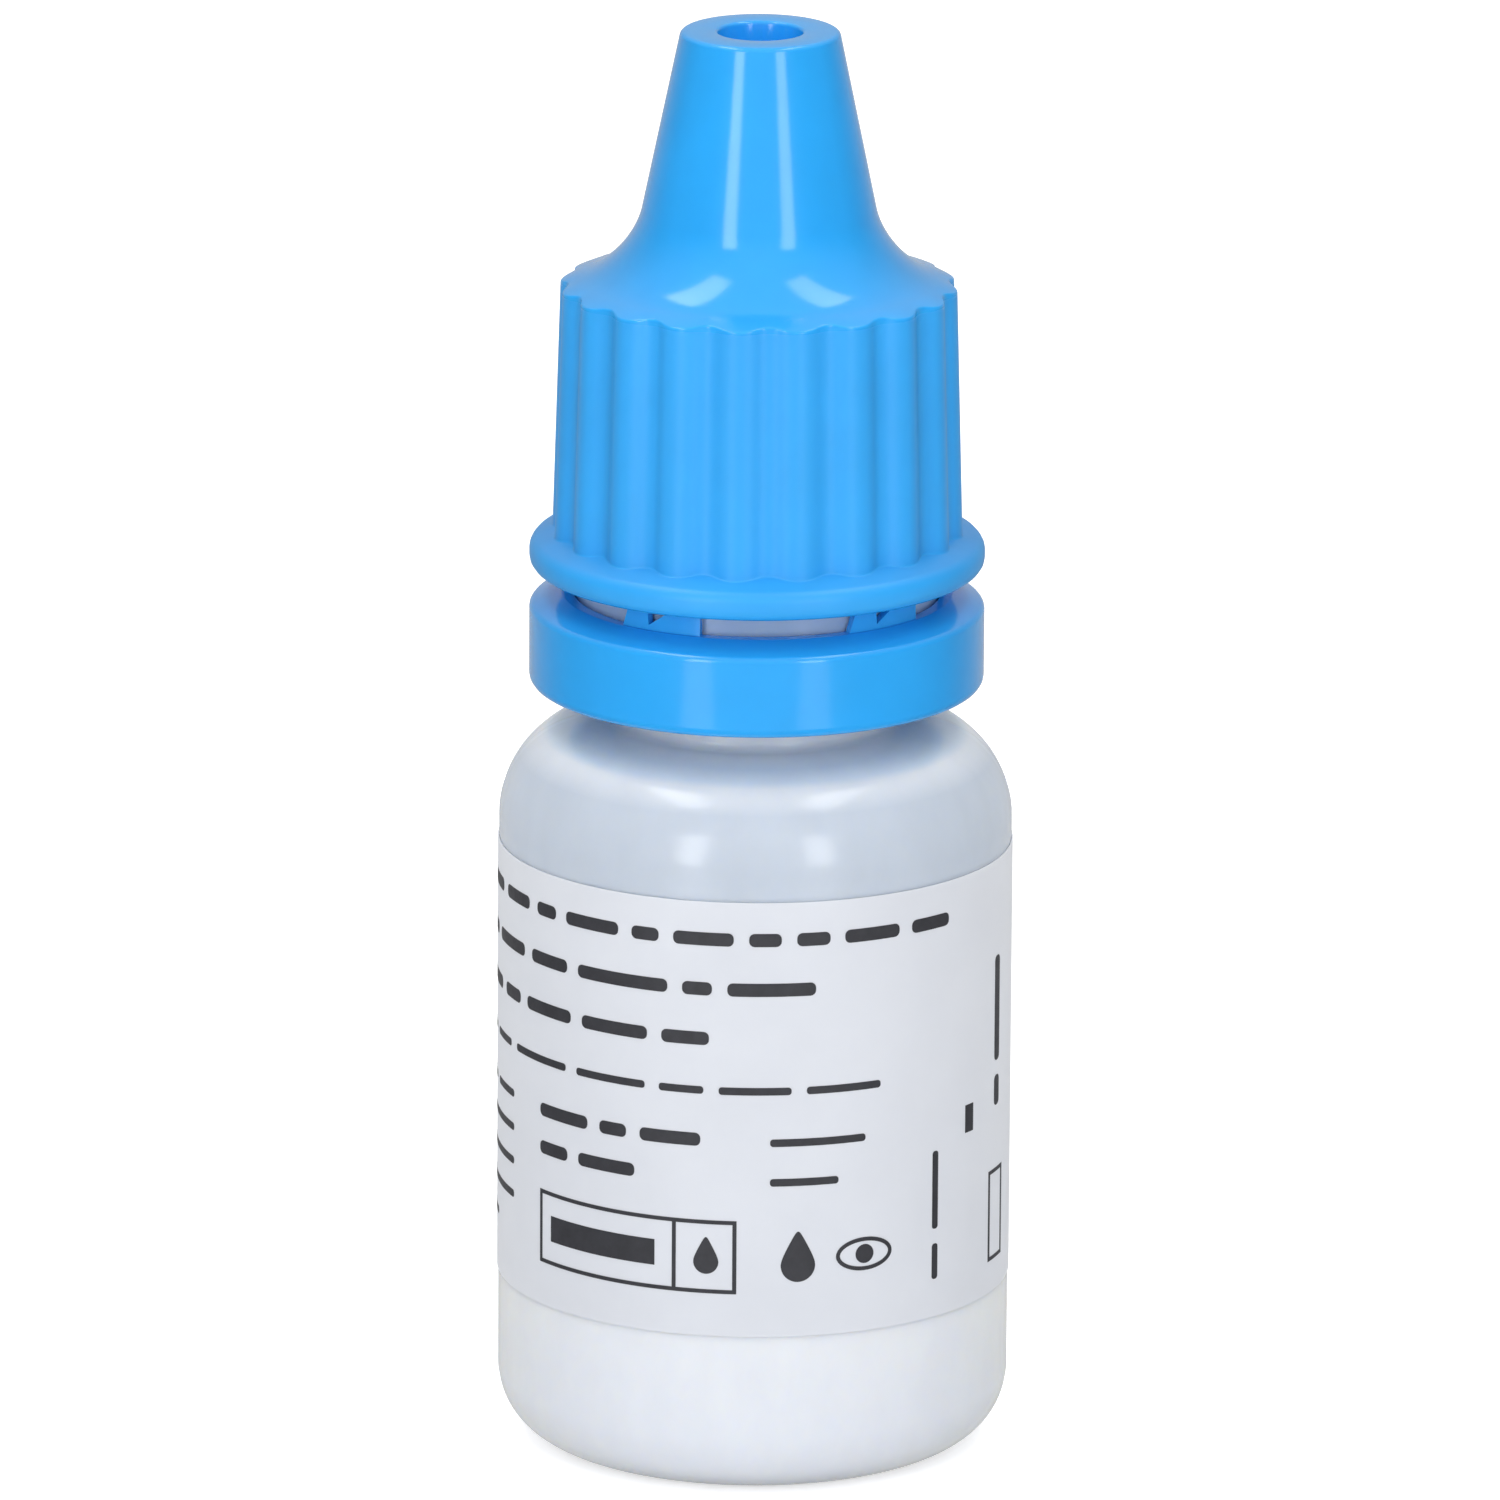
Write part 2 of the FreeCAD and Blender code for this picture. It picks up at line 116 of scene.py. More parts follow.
class BottleSizes(bpy.types.PropertyGroup):
    """Squeeze bottle, from the foot up"""

    body_radius: length("Body radius", "Outer radius of the body", BOTTLE_HIGH.x)
    body_top: height("Body top", "Height where the shoulder reaches the neck", 36.4 * MM)
    wall: length("Wall", "Thickness of body, base and shoulder", 1.0 * MM)
    foot_slope: length("Foot slope", "Width of the slope inside the foot ring", 1.2 * MM)
    foot_width: length("Foot width", "Width of the flat foot ring", 1.9 * MM)
    push_up: length("Push-up", "Height of the raised base inside the foot ring", 0.8 * MM)
    foot_round: length("Foot rounding", "Radius on the foot ring's edges", 0.4 * MM)
    base_round: length("Base rounding", "Radius from base to body", 3.4 * MM)
    shoulder_round: length("Shoulder rounding", "Radius from body to shoulder", 4.95 * MM)
    neck_radius: length("Neck radius", "Outer radius of the neck", 6.9 * MM)
    neck_wall: length("Neck wall", "Thickness of the neck", 1.7 * MM)
    neck_round: length("Neck rounding", "Radius at the foot of the neck", 0.4 * MM)
    collar_radius: length("Collar radius", "Outer radius of the collar over the ring's lip", 8.82 * MM)
    collar_low: height("Collar underside", "Height of the collar's lower face", 41.4 * MM)
    collar_high: height("Collar top", "Height of the collar's upper face", 43.65 * MM)
    collar_round: length("Collar rounding", "Radius on the collar's edges", 0.2 * MM)
    rim: height("Rim", "Height of the neck's rim", BOTTLE_HIGH.z)
    rim_round: length("Rim rounding", "Radius on the rim's edges", 0.25 * MM)
    shade_edge: height("Shade edge", "Height where the cap's shade inside the shoulder ends", 35.45 * MM)
    seam_rise: length("Seam rise", "How far the mould's parting line stands out", 0.03 * MM)


class ThreadSizes(bpy.types.PropertyGroup):
    """Thread between neck and cap"""

    pitch: length("Pitch", "Rise in one turn", 3.0 * MM)
    depth: length("Depth", "Height of the ridge over its wall", 0.95 * MM)
    sink: length("Sink", "Depth of the ridge's root in its wall", 0.3 * MM)
    root_width: length("Root width", "Width of the ridge at its root", 1.5 * MM)
    crest_width: length("Crest width", "Width of the ridge at its crest", 0.7 * MM)
    neck_start: height("Neck start", "Height where the neck's ridge starts", 46.25 * MM)
    neck_turns: amount("Neck turns", "Turns of the neck's ridge", 2.0)
    cap_start: height("Cap start", "Height where the cap's ridge starts", 47.75 * MM)
    cap_turns: amount("Cap turns", "Turns of the cap's ridge", 1.5)
    fade_turns: amount("Fade", "Turns in which an end fades out", 0.12)


class SolutionSizes(bpy.types.PropertyGroup):
    """Liquid contents"""

    radius: length("Radius", "Radius of the liquid column", SOLUTION_HIGH.x)
    floor: height("Floor", "Height of the liquid's underside", SOLUTION_LOW.z)
    surface: height("Surface", "Height of the liquid's edge at the wall", SOLUTION_HIGH.z)
    meniscus: length("Meniscus", "How far the surface climbs the wall", 0.35 * MM)
    corner_round: length("Corner rounding", "Radius at the bottom corner", 2.4 * MM)


class LabelSizes(bpy.types.PropertyGroup):
    """Film label and the blind print on it"""

    radius: length("Radius", "Outer radius of the printed label", LABEL_HIGH.x)
    low: height("Lower edge", "Height of the label's lower edge", LABEL_LOW.z)
    high: height("Upper edge", "Height of the label's upper edge", LABEL_HIGH.z)
    thickness: length("Film thickness", "Thickness of film and glue", 0.07 * MM)
    ink: length("Ink thickness", "Thickness of the print over the film", 0.012 * MM)
    seam: length("Seam", "Bare width between the film's ends", 4.0 * MM)
    corner_round: length("Corner rounding", "Radius of the film's corners", 1.5 * MM)
    bold_bar: length("Bold bar", "Height of a bar that stands for a bold word", 0.66 * MM)
    light_bar: length("Light bar", "Height of a bar that stands for a light word", 0.38 * MM)
    rule: length("Rule", "Width of a printed rule", 0.2 * MM)


class InsertSizes(bpy.types.PropertyGroup):
    """Dropper insert in the neck"""

    plug_low: height("Plug end", "Height of the plug's lower end", INSERT_LOW.z)
    plug_radius: length("Plug radius", "Outer radius of the plug in the neck", 5.18 * MM)
    plug_wall: length("Plug wall", "Thickness of the plug", 1.2 * MM)
    flange_radius: length("Flange radius", "Radius of the flange on the neck's rim", INSERT_HIGH.x)
    flange_high: height("Flange top", "Height of the flange's upper face", 56.35 * MM)
    spout_base_radius: length("Spout base radius", "Outer radius at the foot of the spout", 3.6 * MM)
    spout_tip_radius: length("Spout tip radius", "Outer radius at the spout's tip", 1.7 * MM)
    spout_tip: height("Spout tip", "Height of the spout's tip", INSERT_HIGH.z)
    spout_wall: length("Spout wall", "Thickness of the spout", 1.0 * MM)
    cup_radius: length("Drop cup radius", "Radius of the cup that shapes the drop", 0.8 * MM)
    cup_depth: length("Drop cup depth", "Depth of the cup that shapes the drop", 0.9 * MM)
    orifice_radius: length("Orifice radius", "Radius of the metering hole", 0.3 * MM)
    orifice_length: length("Orifice length", "Length of the metering hole", 1.2 * MM)
    edge_round: length("Edge rounding", "Radius on the moulded edges", 0.2 * MM)
    tip_round: length("Tip rounding", "Radius on the spout's tip", 0.4 * MM)


class RingSizes(bpy.types.PropertyGroup):
    """Tamper ring and its break-away bridges"""

    radius: length("Radius", "Outer radius of the ring", RING_HIGH.x)
    low: height("Lower edge", "Height of the ring's lower edge", RING_LOW.z)
    crown: height("Crown", "Height of the ring's inner top edge", RING_HIGH.z)
    crown_rise: length("Crown rise", "Rise of the top from outside to inside", 0.6 * MM)
    wall: length("Wall", "Thickness of the ring's wall", 1.1 * MM)
    bore: length("Bore", "Inner radius over the neck collar", 8.99 * MM)
    land: length("Land", "Outer radius of the flat land under the bridges", 9.54 * MM)
    lip_radius: length("Lip radius", "Inner radius of the lip under the collar", 8.27 * MM)
    lip_low: height("Lip underside", "Height of the lip's lower face", 40.05 * MM)
    lip_high: height("Lip top", "Height of the lip's upper face", 41.15 * MM)
    low_round: length("Lower rounding", "Radius on the lower outer edge", 0.5 * MM)
    top_round: length("Upper rounding", "Radius on the upper outer edge", 0.35 * MM)
    edge_round: length("Edge rounding", "Radius on the other edges", 0.15 * MM)
    bridge_count: IntProperty(name="Bridges", description="Number of break-away bridges", default=5)
    bridge_arc: angle("Bridge arc", "Angle that a bridge and its tooth take up", 24)
    bridge_phase: angle("Bridge phase", "Angle of the first bridge from the front", -29)
    bridge_thickness: length("Bridge thickness", "Radial thickness of a bridge", 0.4 * MM)
    bridge_top: height("Bridge top", "Height where the bridges meet the cap", BRIDGES_HIGH.z)


class CapSizes(bpy.types.PropertyGroup):
    """Screw cap, from the flange up"""

    flange_radius: length("Flange radius", "Outer radius of the flange bead", CAP_HIGH.x)
    flange_low: height("Flange underside", "Height of the flange's lower face", CAP_LOW.z)
    flange_height: length("Flange height", "Height of the flange bead", 1.35 * MM)
    flange_round: length("Flange rounding", "Radius on the flange bead", 0.62 * MM)
    flange_pitch: angle("Flange slope", "Slope of the flange's upper face", 21.9)
    skirt_radius: length("Skirt radius", "Radius over the ribs at the deck's edge", 9.67 * MM)
    skirt_draft: angle("Skirt draft", "Taper of the skirt", 1.6)
    skirt_round: length("Skirt rounding", "Radius at the skirt's foot and on the deck's edge", 0.13 * MM)
    rib_count: IntProperty(name="Ribs", description="Number of grip ribs", default=20)
    rib_depth: length("Rib depth", "Depth of the grooves between the ribs", 0.42 * MM)
    rib_crest: share("Rib crest", "Share of the pitch that the rounded crest takes", 0.62)
    rib_phase: angle("Rib phase", "Angle of the first crest from the front", 12)
    deck: height("Deck", "Height of the deck's edge", 57.95 * MM)
    deck_pitch: angle("Deck slope", "Slope of the deck", 20.8)
    nose_fillet: length("Nose fillet", "Radius from deck to nose", 4.7 * MM)
    nose_half_angle: angle("Nose half angle", "Half angle of the nose cone", 11.75)
    nose_radius: length("Nose radius", "Radius at the nose's tip", 3.86 * MM)
    nose_tip: height("Nose tip", "Height of the nose's tip", CAP_HIGH.z)
    nose_round: length("Nose rounding", "Radius on the nose's rim", 0.28 * MM)
    recess_radius: length("Recess radius", "Radius of the blind recess in the tip", 2.05 * MM)
    recess_depth: length("Recess depth", "Depth of the blind recess in the tip", 2.4 * MM)
    recess_taper: length("Recess taper", "How much narrower the recess is at its floor", 0.15 * MM)
    recess_round: length("Recess rounding", "Radius on the recess's edges", 0.2 * MM)
    bore: length("Bore", "Radius of the threaded bore", 8.05 * MM)
    bore_top: height("Bore top", "Height of the deck's underside", 56.45 * MM)
    nose_wall: length("Nose wall", "Thickness of the nose", 1.3 * MM)
    hollow_top: height("Hollow top", "Height of the hollow over the spout", 66.55 * MM)
    hollow_round: length("Hollow rounding", "Radius at the top of the hollow", 0.8 * MM)
    pin_radius: length("Pin radius", "Radius of the pin that closes the dropper", 0.6 * MM)
    pin_low: height("Pin end", "Height of the pin's end", 65.35 * MM)


class Finishes(bpy.types.PropertyGroup):
    """Colours of the finishes, linear"""

    blue: colour("Blue plastic", "Cap, ring and bridges", (0.026, 0.405, 0.94))
    blue_roughness: share("Blue roughness", "Roughness of the blue plastic", 0.14)
    grip_roughness: share("Grip roughness", "Roughness of the cap's ribbed grip", 0.42)
    # The bottle's colours are laid along its height and carry painted light and shade: body peaks as a
    # painted broad highlight at the label's lower edge, shoulder, shade and collar are painted shade, crest
    # and neck are painted light
    base: colour("Bottle base", "Milky wall round the foot", (0.845, 0.88, 0.955))
    body: colour("Bottle body", "Milky wall with liquid behind it", (0.88, 0.91, 0.97))
    # Painted shade: the shoulder's grey stands for the dark air inside the wall
    shoulder: colour("Bottle shoulder", "Milky wall with air behind it", (0.615, 0.68, 0.77))
    crest: colour("Bottle crest", "Top of the shoulder, where light comes through", (0.86, 0.89, 0.93))
    shade: colour("Bottle shade", "Edge of the cap's shade inside the shoulder", (0.78, 0.865, 0.97))
    # Painted light at the foot of the neck, where the ring casts its shade
    neck: colour("Bottle neck", "Thick milky wall at the foot of the neck", (0.95, 0.97, 0.99))
    collar: colour("Bottle collar", "Milky collar in the shade of the cap", (0.44, 0.58, 0.75))
    film: colour("Label film", "Label", (0.785, 0.81, 0.865))
    ink: colour("Ink", "Print on the label", (0.045, 0.046, 0.055))
    accent: colour("Accent ink", "Coloured print on the far side of the label", (0.02, 0.33, 0.80))
    natural: colour("Natural plastic", "Dropper insert", (0.82, 0.85, 0.87))
    solution: colour("Solution", "Liquid", (0.97, 0.985, 1.0))


class Studio(bpy.types.PropertyGroup):
    """Camera, lights and floor"""

    camera_distance: length("Camera distance", "From the camera to the point it looks at", 0.85)
    camera_elevation: angle("Camera elevation", "Angle of the camera over the horizon", 15.26)
    camera_roll: angle("Camera roll", "Turn of the camera about its own axis", 0.35)
    camera_lens: amount("Lens", "Focal length in millimetres", 417.8)
    aim_height: height("Aim height", "Height of the point that the camera looks at", 34.59 * MM)
    aim_side: height("Aim side", "Sideways place of the point that the camera looks at", -0.29 * MM)
    floor_size: length("Floor size", "Width of the floor", 6.0)
    floor_tone: share("Floor tone", "Grey level of the matt floor", 0.8)
    floor_glow: share("Floor glow", "White that the floor shows the camera besides its own light", 0.6)
    wall_level: amount("Wall level", "Light of the tent's walls", 0.12)
    ceiling_level: amount("Ceiling level", "Light of the tent's ceiling", 0.85)
    ceiling_from: share("Ceiling from", "Sine of the height angle where the ceiling starts to show", 0.2)
    ceiling_to: share("Ceiling to", "Sine of the height angle from which the ceiling is full", 0.9)
    fill_level: amount("Fill level", "Light of the tent behind the camera", 0.4)
    fill_from: share("Fill from", "Cosine from the camera's side where the fill starts to show", 0.5)
    back_level: amount("Back level", "Light of the tent behind the object", 0.45)
    back_from: share("Back from", "Cosine from the far side where the back light starts to show", 0.2)
    panel_distance: length("Panel distance", "Distance of the light panels", 0.6)
    front_azimuth: angle("Front azimuth", "Angle of the front panels from the camera's side", 28.6)
    front_elevation: angle("Front elevation", "Height angle of the front panels", 15)
    front_width: length("Front width", "Width of a front panel", 0.13)
    front_height: length("Front height", "Height of a front panel", 0.36)
    front_power: amount("Front power", "Watts of a front panel", 0.7)
    top_azimuth: angle("Top azimuth", "Angle of the top panels from the camera's side", 88)
    top_elevation: angle("Top elevation", "Height angle of the top panels", 67.5)
    top_width: length("Top width", "Size of a top panel from front to back", 0.42)
    top_depth: length("Top depth", "Size of a top panel from side to side", 0.13)
    top_power: amount("Top power", "Watts of a top panel", 0.7)
    gleam_distance: length("Gleam distance", "Distance of the gleams on the table in front", 0.24)
    gleam_height: length("Gleam height", "Height of a gleam over the table", 1.0 * MM)
    gleam_width: length("Gleam width", "Width of a gleam on the table", 0.04)
    gleam_length: length("Gleam length", "Length of a gleam on the table", 0.28)
    gleam_power: amount("Gleam power", "Watts of a gleam on the table", 0.042)
    balance: share("Balance", "Share of power that the right panels give up to the left ones", 0.08)


class EyeDropSettings(bpy.types.PropertyGroup):
    """All sizes, colours and studio settings"""

    bottle: PointerProperty(type=BottleSizes)
    thread: PointerProperty(type=ThreadSizes)
    solution: PointerProperty(type=SolutionSizes)
    label: PointerProperty(type=LabelSizes)
    insert: PointerProperty(type=InsertSizes)
    ring: PointerProperty(type=RingSizes)
    cap: PointerProperty(type=CapSizes)
    finish: PointerProperty(type=Finishes)
    studio: PointerProperty(type=Studio)


def front_angle(point):
    """Angle of a point about the bottle's axis from the front (-Y), positive towards +X."""
    return math.atan2(point.x, -point.y)


def round_off(bm, corners, offset, segments, clamp):
    """Rounds corners of a flat outline."""
    bmesh.ops.bevel(
        bm, geom=corners, offset=offset, offset_type="OFFSET", segments=segments, profile=0.5,
        affect="VERTICES", clamp_overlap=clamp, material=-1,
    )


def rounded_chain(bm, corners, closed=False):
    """Chain of edges in the XZ plane through (radius, height, rounding) corners."""
    points = [Vector((radius, 0, level)) for radius, level, rounding in corners]
    verts = [bm.verts.new(point) for point in points]
    ahead = verts[1:] + verts[:1] if closed else verts[1:]
    for vert, other in zip(verts, ahead):
        bm.edges.new((vert, other))
    for i, (radius, level, rounding) in enumerate(corners):
        if rounding == 0:
            continue
        turn = (points[i] - points[i - 1]).angle(points[(i + 1) % len(points)] - points[i])
        fewest, most = FILLET_SEGMENTS
        segments = min(most, max(fewest, round(turn * rounding / FILLET_CHORD)))
        round_off(bm, [verts[i]], rounding * math.tan(turn / 2), segments, clamp=False)


def close_up(bm):
    """Merges doubles and points the faces outwards."""
    bmesh.ops.remove_doubles(bm, verts=bm.verts, dist=MERGE_DISTANCE)
    bmesh.ops.recalc_face_normals(bm, faces=bm.faces)


def spin_round(bm, steps, turns=1, rise=0):
    """Spins a chain about the bottle's axis: once round and closed, or along a helix."""
    bmesh.ops.spin(
        bm, geom=bm.verts[:] + bm.edges[:], cent=(0, 0, 0), axis=(0, 0, 1), dvec=(0, 0, rise / steps),
        angle=math.tau * turns, steps=steps, use_merge=rise == 0, use_normal_flip=False, use_duplicate=False,
    )


def turned(corners, closed=False, steps=TURNING_STEPS):
    """Body turned about the bottle's axis from rounded (radius, height, rounding) corners."""
    bm = bmesh.new()
    rounded_chain(bm, corners, closed)
    spin_round(bm, steps)
    close_up(bm)
    return bm


def join(bm, other):
    """Adds another shape to a shape."""
    mesh = bpy.data.meshes.new("joined")
    other.to_mesh(mesh)
    other.free()
    bm.from_mesh(mesh)
    bpy.data.meshes.remove(mesh)


def thread_ridge(thread, root, outward, start, turns):
    """Right-hand ridge on a wall, outward (1) or inward (-1), that fades into it at both ends."""
    bm = bmesh.new()
    base = root - outward * thread.sink
    crest = root + outward * thread.depth
    section = (
        (base, -thread.root_width / 2),
        (crest, -thread.crest_width / 2),
        (crest, thread.crest_width / 2),
        (base, thread.root_width / 2),
    )
    verts = [bm.verts.new((radius, 0, start + level)) for radius, level in section]
    for vert, other in zip(verts, verts[1:] + verts[:1]):
        bm.edges.new((vert, other))
    steps = round(turns * THREAD_STEPS_PER_TURN)
    spin_round(bm, steps, turns, thread.pitch * turns)
    bm.verts.ensure_lookup_table()
    fade_steps = thread.fade_turns * THREAD_STEPS_PER_TURN
    for i, vert in enumerate(bm.verts):
        ring = i // len(section)
        fade = min(1, ring / fade_steps, (steps - ring) / fade_steps)
        radius = vert.co.xy.length
        vert.co.xy *= (base + (radius - base) * math.sin(fade * math.pi / 2)) / radius
    ends = [edge for edge in bm.edges if edge.is_boundary]
    bmesh.ops.holes_fill(bm, edges=ends, sides=len(section))
    close_up(bm)
    return bm


def place(bm, name, material, body, replaced):
    """Makes a finished piece of a shape: smooth, with its finish, riding on its body."""
    mesh = bpy.data.meshes.new(name)
    bm.to_mesh(mesh)
    bm.free()
    mesh.shade_smooth()
    mesh.set_sharp_from_angle(angle=SHARP_ANGLE)
    mesh.materials.append(material)
    piece = bpy.data.objects.new(name, mesh)
    bpy.context.scene.collection.objects.link(piece)
    even = piece.modifiers.new("Even shading", "WEIGHTED_NORMAL")
    even.keep_sharp = True
    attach(piece, body)
    if replaced:
        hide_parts(replaced)
    return piece


def bottle_shell(bottle):
    """Bottle wall: foot ring, body, shoulder, neck and collar outside, cavity and bore inside."""
    foot = bottle.body_radius - bottle.base_round - bottle.foot_width
    bore = bottle.neck_radius - bottle.neck_wall
    cavity = bottle.body_radius - bottle.wall
    ceiling = bottle.body_top - bottle.wall
    floor = bottle.push_up + bottle.wall
    return turned((
        (0, bottle.push_up, 0),
        (foot - bottle.foot_slope, bottle.push_up, bottle.foot_round),
        (foot, 0, bottle.foot_round),
        (bottle.body_radius, 0, bottle.base_round),
        (bottle.body_radius, bottle.body_top, bottle.shoulder_round),
        (bottle.neck_radius, bottle.body_top, bottle.neck_round),
        (bottle.neck_radius, bottle.collar_low, bottle.collar_round),
        (bottle.collar_radius, bottle.collar_low, bottle.collar_round),
        (bottle.collar_radius, bottle.collar_high, bottle.collar_round),
        (bottle.neck_radius, bottle.collar_high, bottle.collar_round),
        (bottle.neck_radius, bottle.rim, bottle.rim_round),
        (bore, bottle.rim, bottle.rim_round),
        (bore, ceiling, bottle.neck_round),
        (cavity, ceiling, bottle.shoulder_round - bottle.wall),
        (cavity, floor, bottle.base_round - bottle.wall),
        (0, floor, 0),
    ))


# Share of the body's radius by which a wall has to face outwards to carry the parting line
PARTING_LINE_FACING = 0.1


def raise_parting_line(bm, bottle):
    """Stands the mould's parting line out of the body at both sides."""
    bm.normal_update()
    for vert in bm.verts:
        on_line = abs(vert.co.y) < MERGE_DISTANCE and vert.co.z < bottle.body_top - MERGE_DISTANCE
        outside = vert.normal.x * vert.co.x > PARTING_LINE_FACING * bottle.body_radius
        if on_line and outside:
            vert.co += vert.normal * bottle.seam_rise


class EYEDROP_OT_bottle(bpy.types.Operator):
    """Blow-moulded squeeze bottle with its collar, thread and parting line"""

    bl_idname = "eye_drop.bottle"
    bl_label = "Squeeze bottle"

    def execute(self, context):
        settings = context.scene.eye_drop
        bottle, thread = settings.bottle, settings.thread
        bm = bottle_shell(bottle)
        raise_parting_line(bm, bottle)
        join(bm, thread_ridge(thread, bottle.neck_radius, 1, thread.neck_start, thread.neck_turns))
        plastic = milky_plastic(settings.finish, bottle, settings.label)
        place(bm, "squeeze_bottle", plastic, "filled_bottle", "bottle")
        return {"FINISHED"}


class EYEDROP_OT_solution(bpy.types.Operator):
    """Clear liquid with a meniscus at the wall"""

    bl_idname = "eye_drop.solution"
    bl_label = "Solution"

    def execute(self, context):
        settings = context.scene.eye_drop
        liquid = settings.solution
        level = liquid.surface - liquid.meniscus
        bm = turned((
            (0, liquid.floor, 0),
            (liquid.radius, liquid.floor, liquid.corner_round),
            (liquid.radius, liquid.surface, 0),
            (liquid.radius - liquid.meniscus, level, liquid.meniscus / 2),
            (0, level, 0),
        ))
        water = clear_solution(settings.finish)
        place(bm, "eye_drops", water, "filled_bottle", "eye_drop_solution")
        return {"FINISHED"}


class EYEDROP_OT_insert(bpy.types.Operator):
    """Dropper insert: plug, flange and spout round a throat, metering hole and drop cup"""

    bl_idname = "eye_drop.insert"
    bl_label = "Dropper insert"

    def execute(self, context):
        settings = context.scene.eye_drop
        insert = settings.insert
        rim = settings.bottle.rim
        throat = insert.plug_radius - insert.plug_wall
        cup_floor = insert.spout_tip - insert.cup_depth
        throat_top = cup_floor - insert.orifice_length
        edge = insert.edge_round
        bm = turned((
            (throat, insert.plug_low, edge),
            (insert.plug_radius, insert.plug_low, edge),
            (insert.plug_radius, rim, 0),
            (insert.flange_radius, rim, edge),
            (insert.flange_radius, insert.flange_high, edge),
            (insert.spout_base_radius, insert.flange_high, edge),
            (insert.spout_tip_radius, insert.spout_tip, insert.tip_round),
            (insert.cup_radius, insert.spout_tip, edge / 2),
            (insert.cup_radius, cup_floor, 0),
            (insert.orifice_radius, cup_floor, 0),
            (insert.orifice_radius, throat_top, 0),
            (insert.spout_tip_radius - insert.spout_wall, throat_top, 0),
            (insert.spout_base_radius - insert.spout_wall, insert.flange_high, edge),
            (throat, rim, edge),
        ), closed=True, steps=TURNING_STEPS // 2)
        plastic = natural_plastic(settings.finish)
        place(bm, "dropper_nozzle", plastic, "filled_bottle", "dropper_insert")
        return {"FINISHED"}


class EYEDROP_OT_ring(bpy.types.Operator):
    """Tamper ring with a crowned top and a lip under the neck collar"""

    bl_idname = "eye_drop.ring"
    bl_label = "Tamper ring"

    def execute(self, context):
        settings = context.scene.eye_drop
        ring = settings.ring
        edge = ring.edge_round
        inner = ring.radius - ring.wall
        bm = turned((
            (inner, ring.low, edge),
            (ring.radius, ring.low, ring.low_round),
            (ring.radius, ring.crown - ring.crown_rise, ring.top_round),
            (ring.land, ring.crown, edge),
            (ring.bore, ring.crown, 0),
            (ring.bore, ring.lip_high, 0),
            (ring.lip_radius, ring.lip_high, edge),
            (ring.lip_radius, ring.lip_low, edge),
            (inner, ring.lip_low, edge),
        ), closed=True)
        plastic = blue_plastic(settings.finish, settings.cap)
        place(bm, "tamper_evident_ring", plastic, "tamper_band", "tamper_ring")
        return {"FINISHED"}


# Outline of a bridge and the ramp tooth beside it, in shares of its arc and height
BRIDGE_OUTLINE_SHARES = ((-0.1, 0), (1, 0), (1, 0.8), (0.57, 0.8), (0.3, 0.2), (0.28, 1), (0, 1))
BRIDGE_COLUMNS = 12


def bridge(ring, first_angle):
    """One bridge and its tooth, drawn flat, cut in columns, bent round the ring and thickened."""
    bm = bmesh.new()
    first = ring.bore * first_angle
    girth = ring.bore * ring.bridge_arc
    rise = ring.bridge_top - ring.crown
    outline = [(first + girth * along, ring.crown + rise * up, 0) for along, up in BRIDGE_OUTLINE_SHARES]
    bm.faces.new([bm.verts.new(point) for point in outline])
    cut_columns(bm, girth / BRIDGE_COLUMNS)
    wrap(bm, ring.bore)
    thicken_outwards(bm, ring.bore + ring.bridge_thickness)
    return bm


def cut_columns(bm, step):
    """Cuts a flat drawing into columns along x, so that it can be bent."""
    first = min(vert.co.x for vert in bm.verts)
    last = max(vert.co.x for vert in bm.verts)
    for column in range(1, math.ceil((last - first) / step)):
        bmesh.ops.bisect_plane(
            bm, geom=bm.verts[:] + bm.edges[:] + bm.faces[:], dist=MERGE_DISTANCE,
            plane_co=(first + column * step, 0, 0), plane_no=(1, 0, 0),
        )


def wrap(bm, radius):
    """Bends a flat drawing (x along the girth from the front, y up) round the bottle's axis."""
    for vert in bm.verts:
        turn, level = vert.co.x / radius, vert.co.y
        vert.co = (radius * math.sin(turn), -radius * math.cos(turn), level)


def thicken_outwards(bm, outer_radius):
    """Pulls a bent sheet out to a radius about the bottle's axis and closes its sides."""
    pulled = bmesh.ops.extrude_face_region(bm, geom=bm.faces[:], use_keep_orig=True)
    for item in pulled["geom"]:
        if isinstance(item, bmesh.types.BMVert):
            item.co.xy *= outer_radius / item.co.xy.length
    bmesh.ops.recalc_face_normals(bm, faces=bm.faces)


class EYEDROP_OT_bridges(bpy.types.Operator):
    """Break-away bridges and ramp teeth between the ring and the cap"""

    bl_idname = "eye_drop.bridges"
    bl_label = "Break-away bridges"

    def execute(self, context):
        settings = context.scene.eye_drop
        ring = settings.ring
        bm = bmesh.new()
        for k in range(ring.bridge_count):
            middle = ring.bridge_phase + math.tau * k / ring.bridge_count
            join(bm, bridge(ring, middle - ring.bridge_arc / 2))
        plastic = blue_plastic(settings.finish, settings.cap)
        place(bm, "break_away_bridges", plastic, "tamper_band", "tamper_bridges")
        return {"FINISHED"}


def nose_at(cap, level):
    """Outer radius of the nose cone at a height."""
    return cap.nose_radius + (cap.nose_tip - level) * math.tan(cap.nose_half_angle)


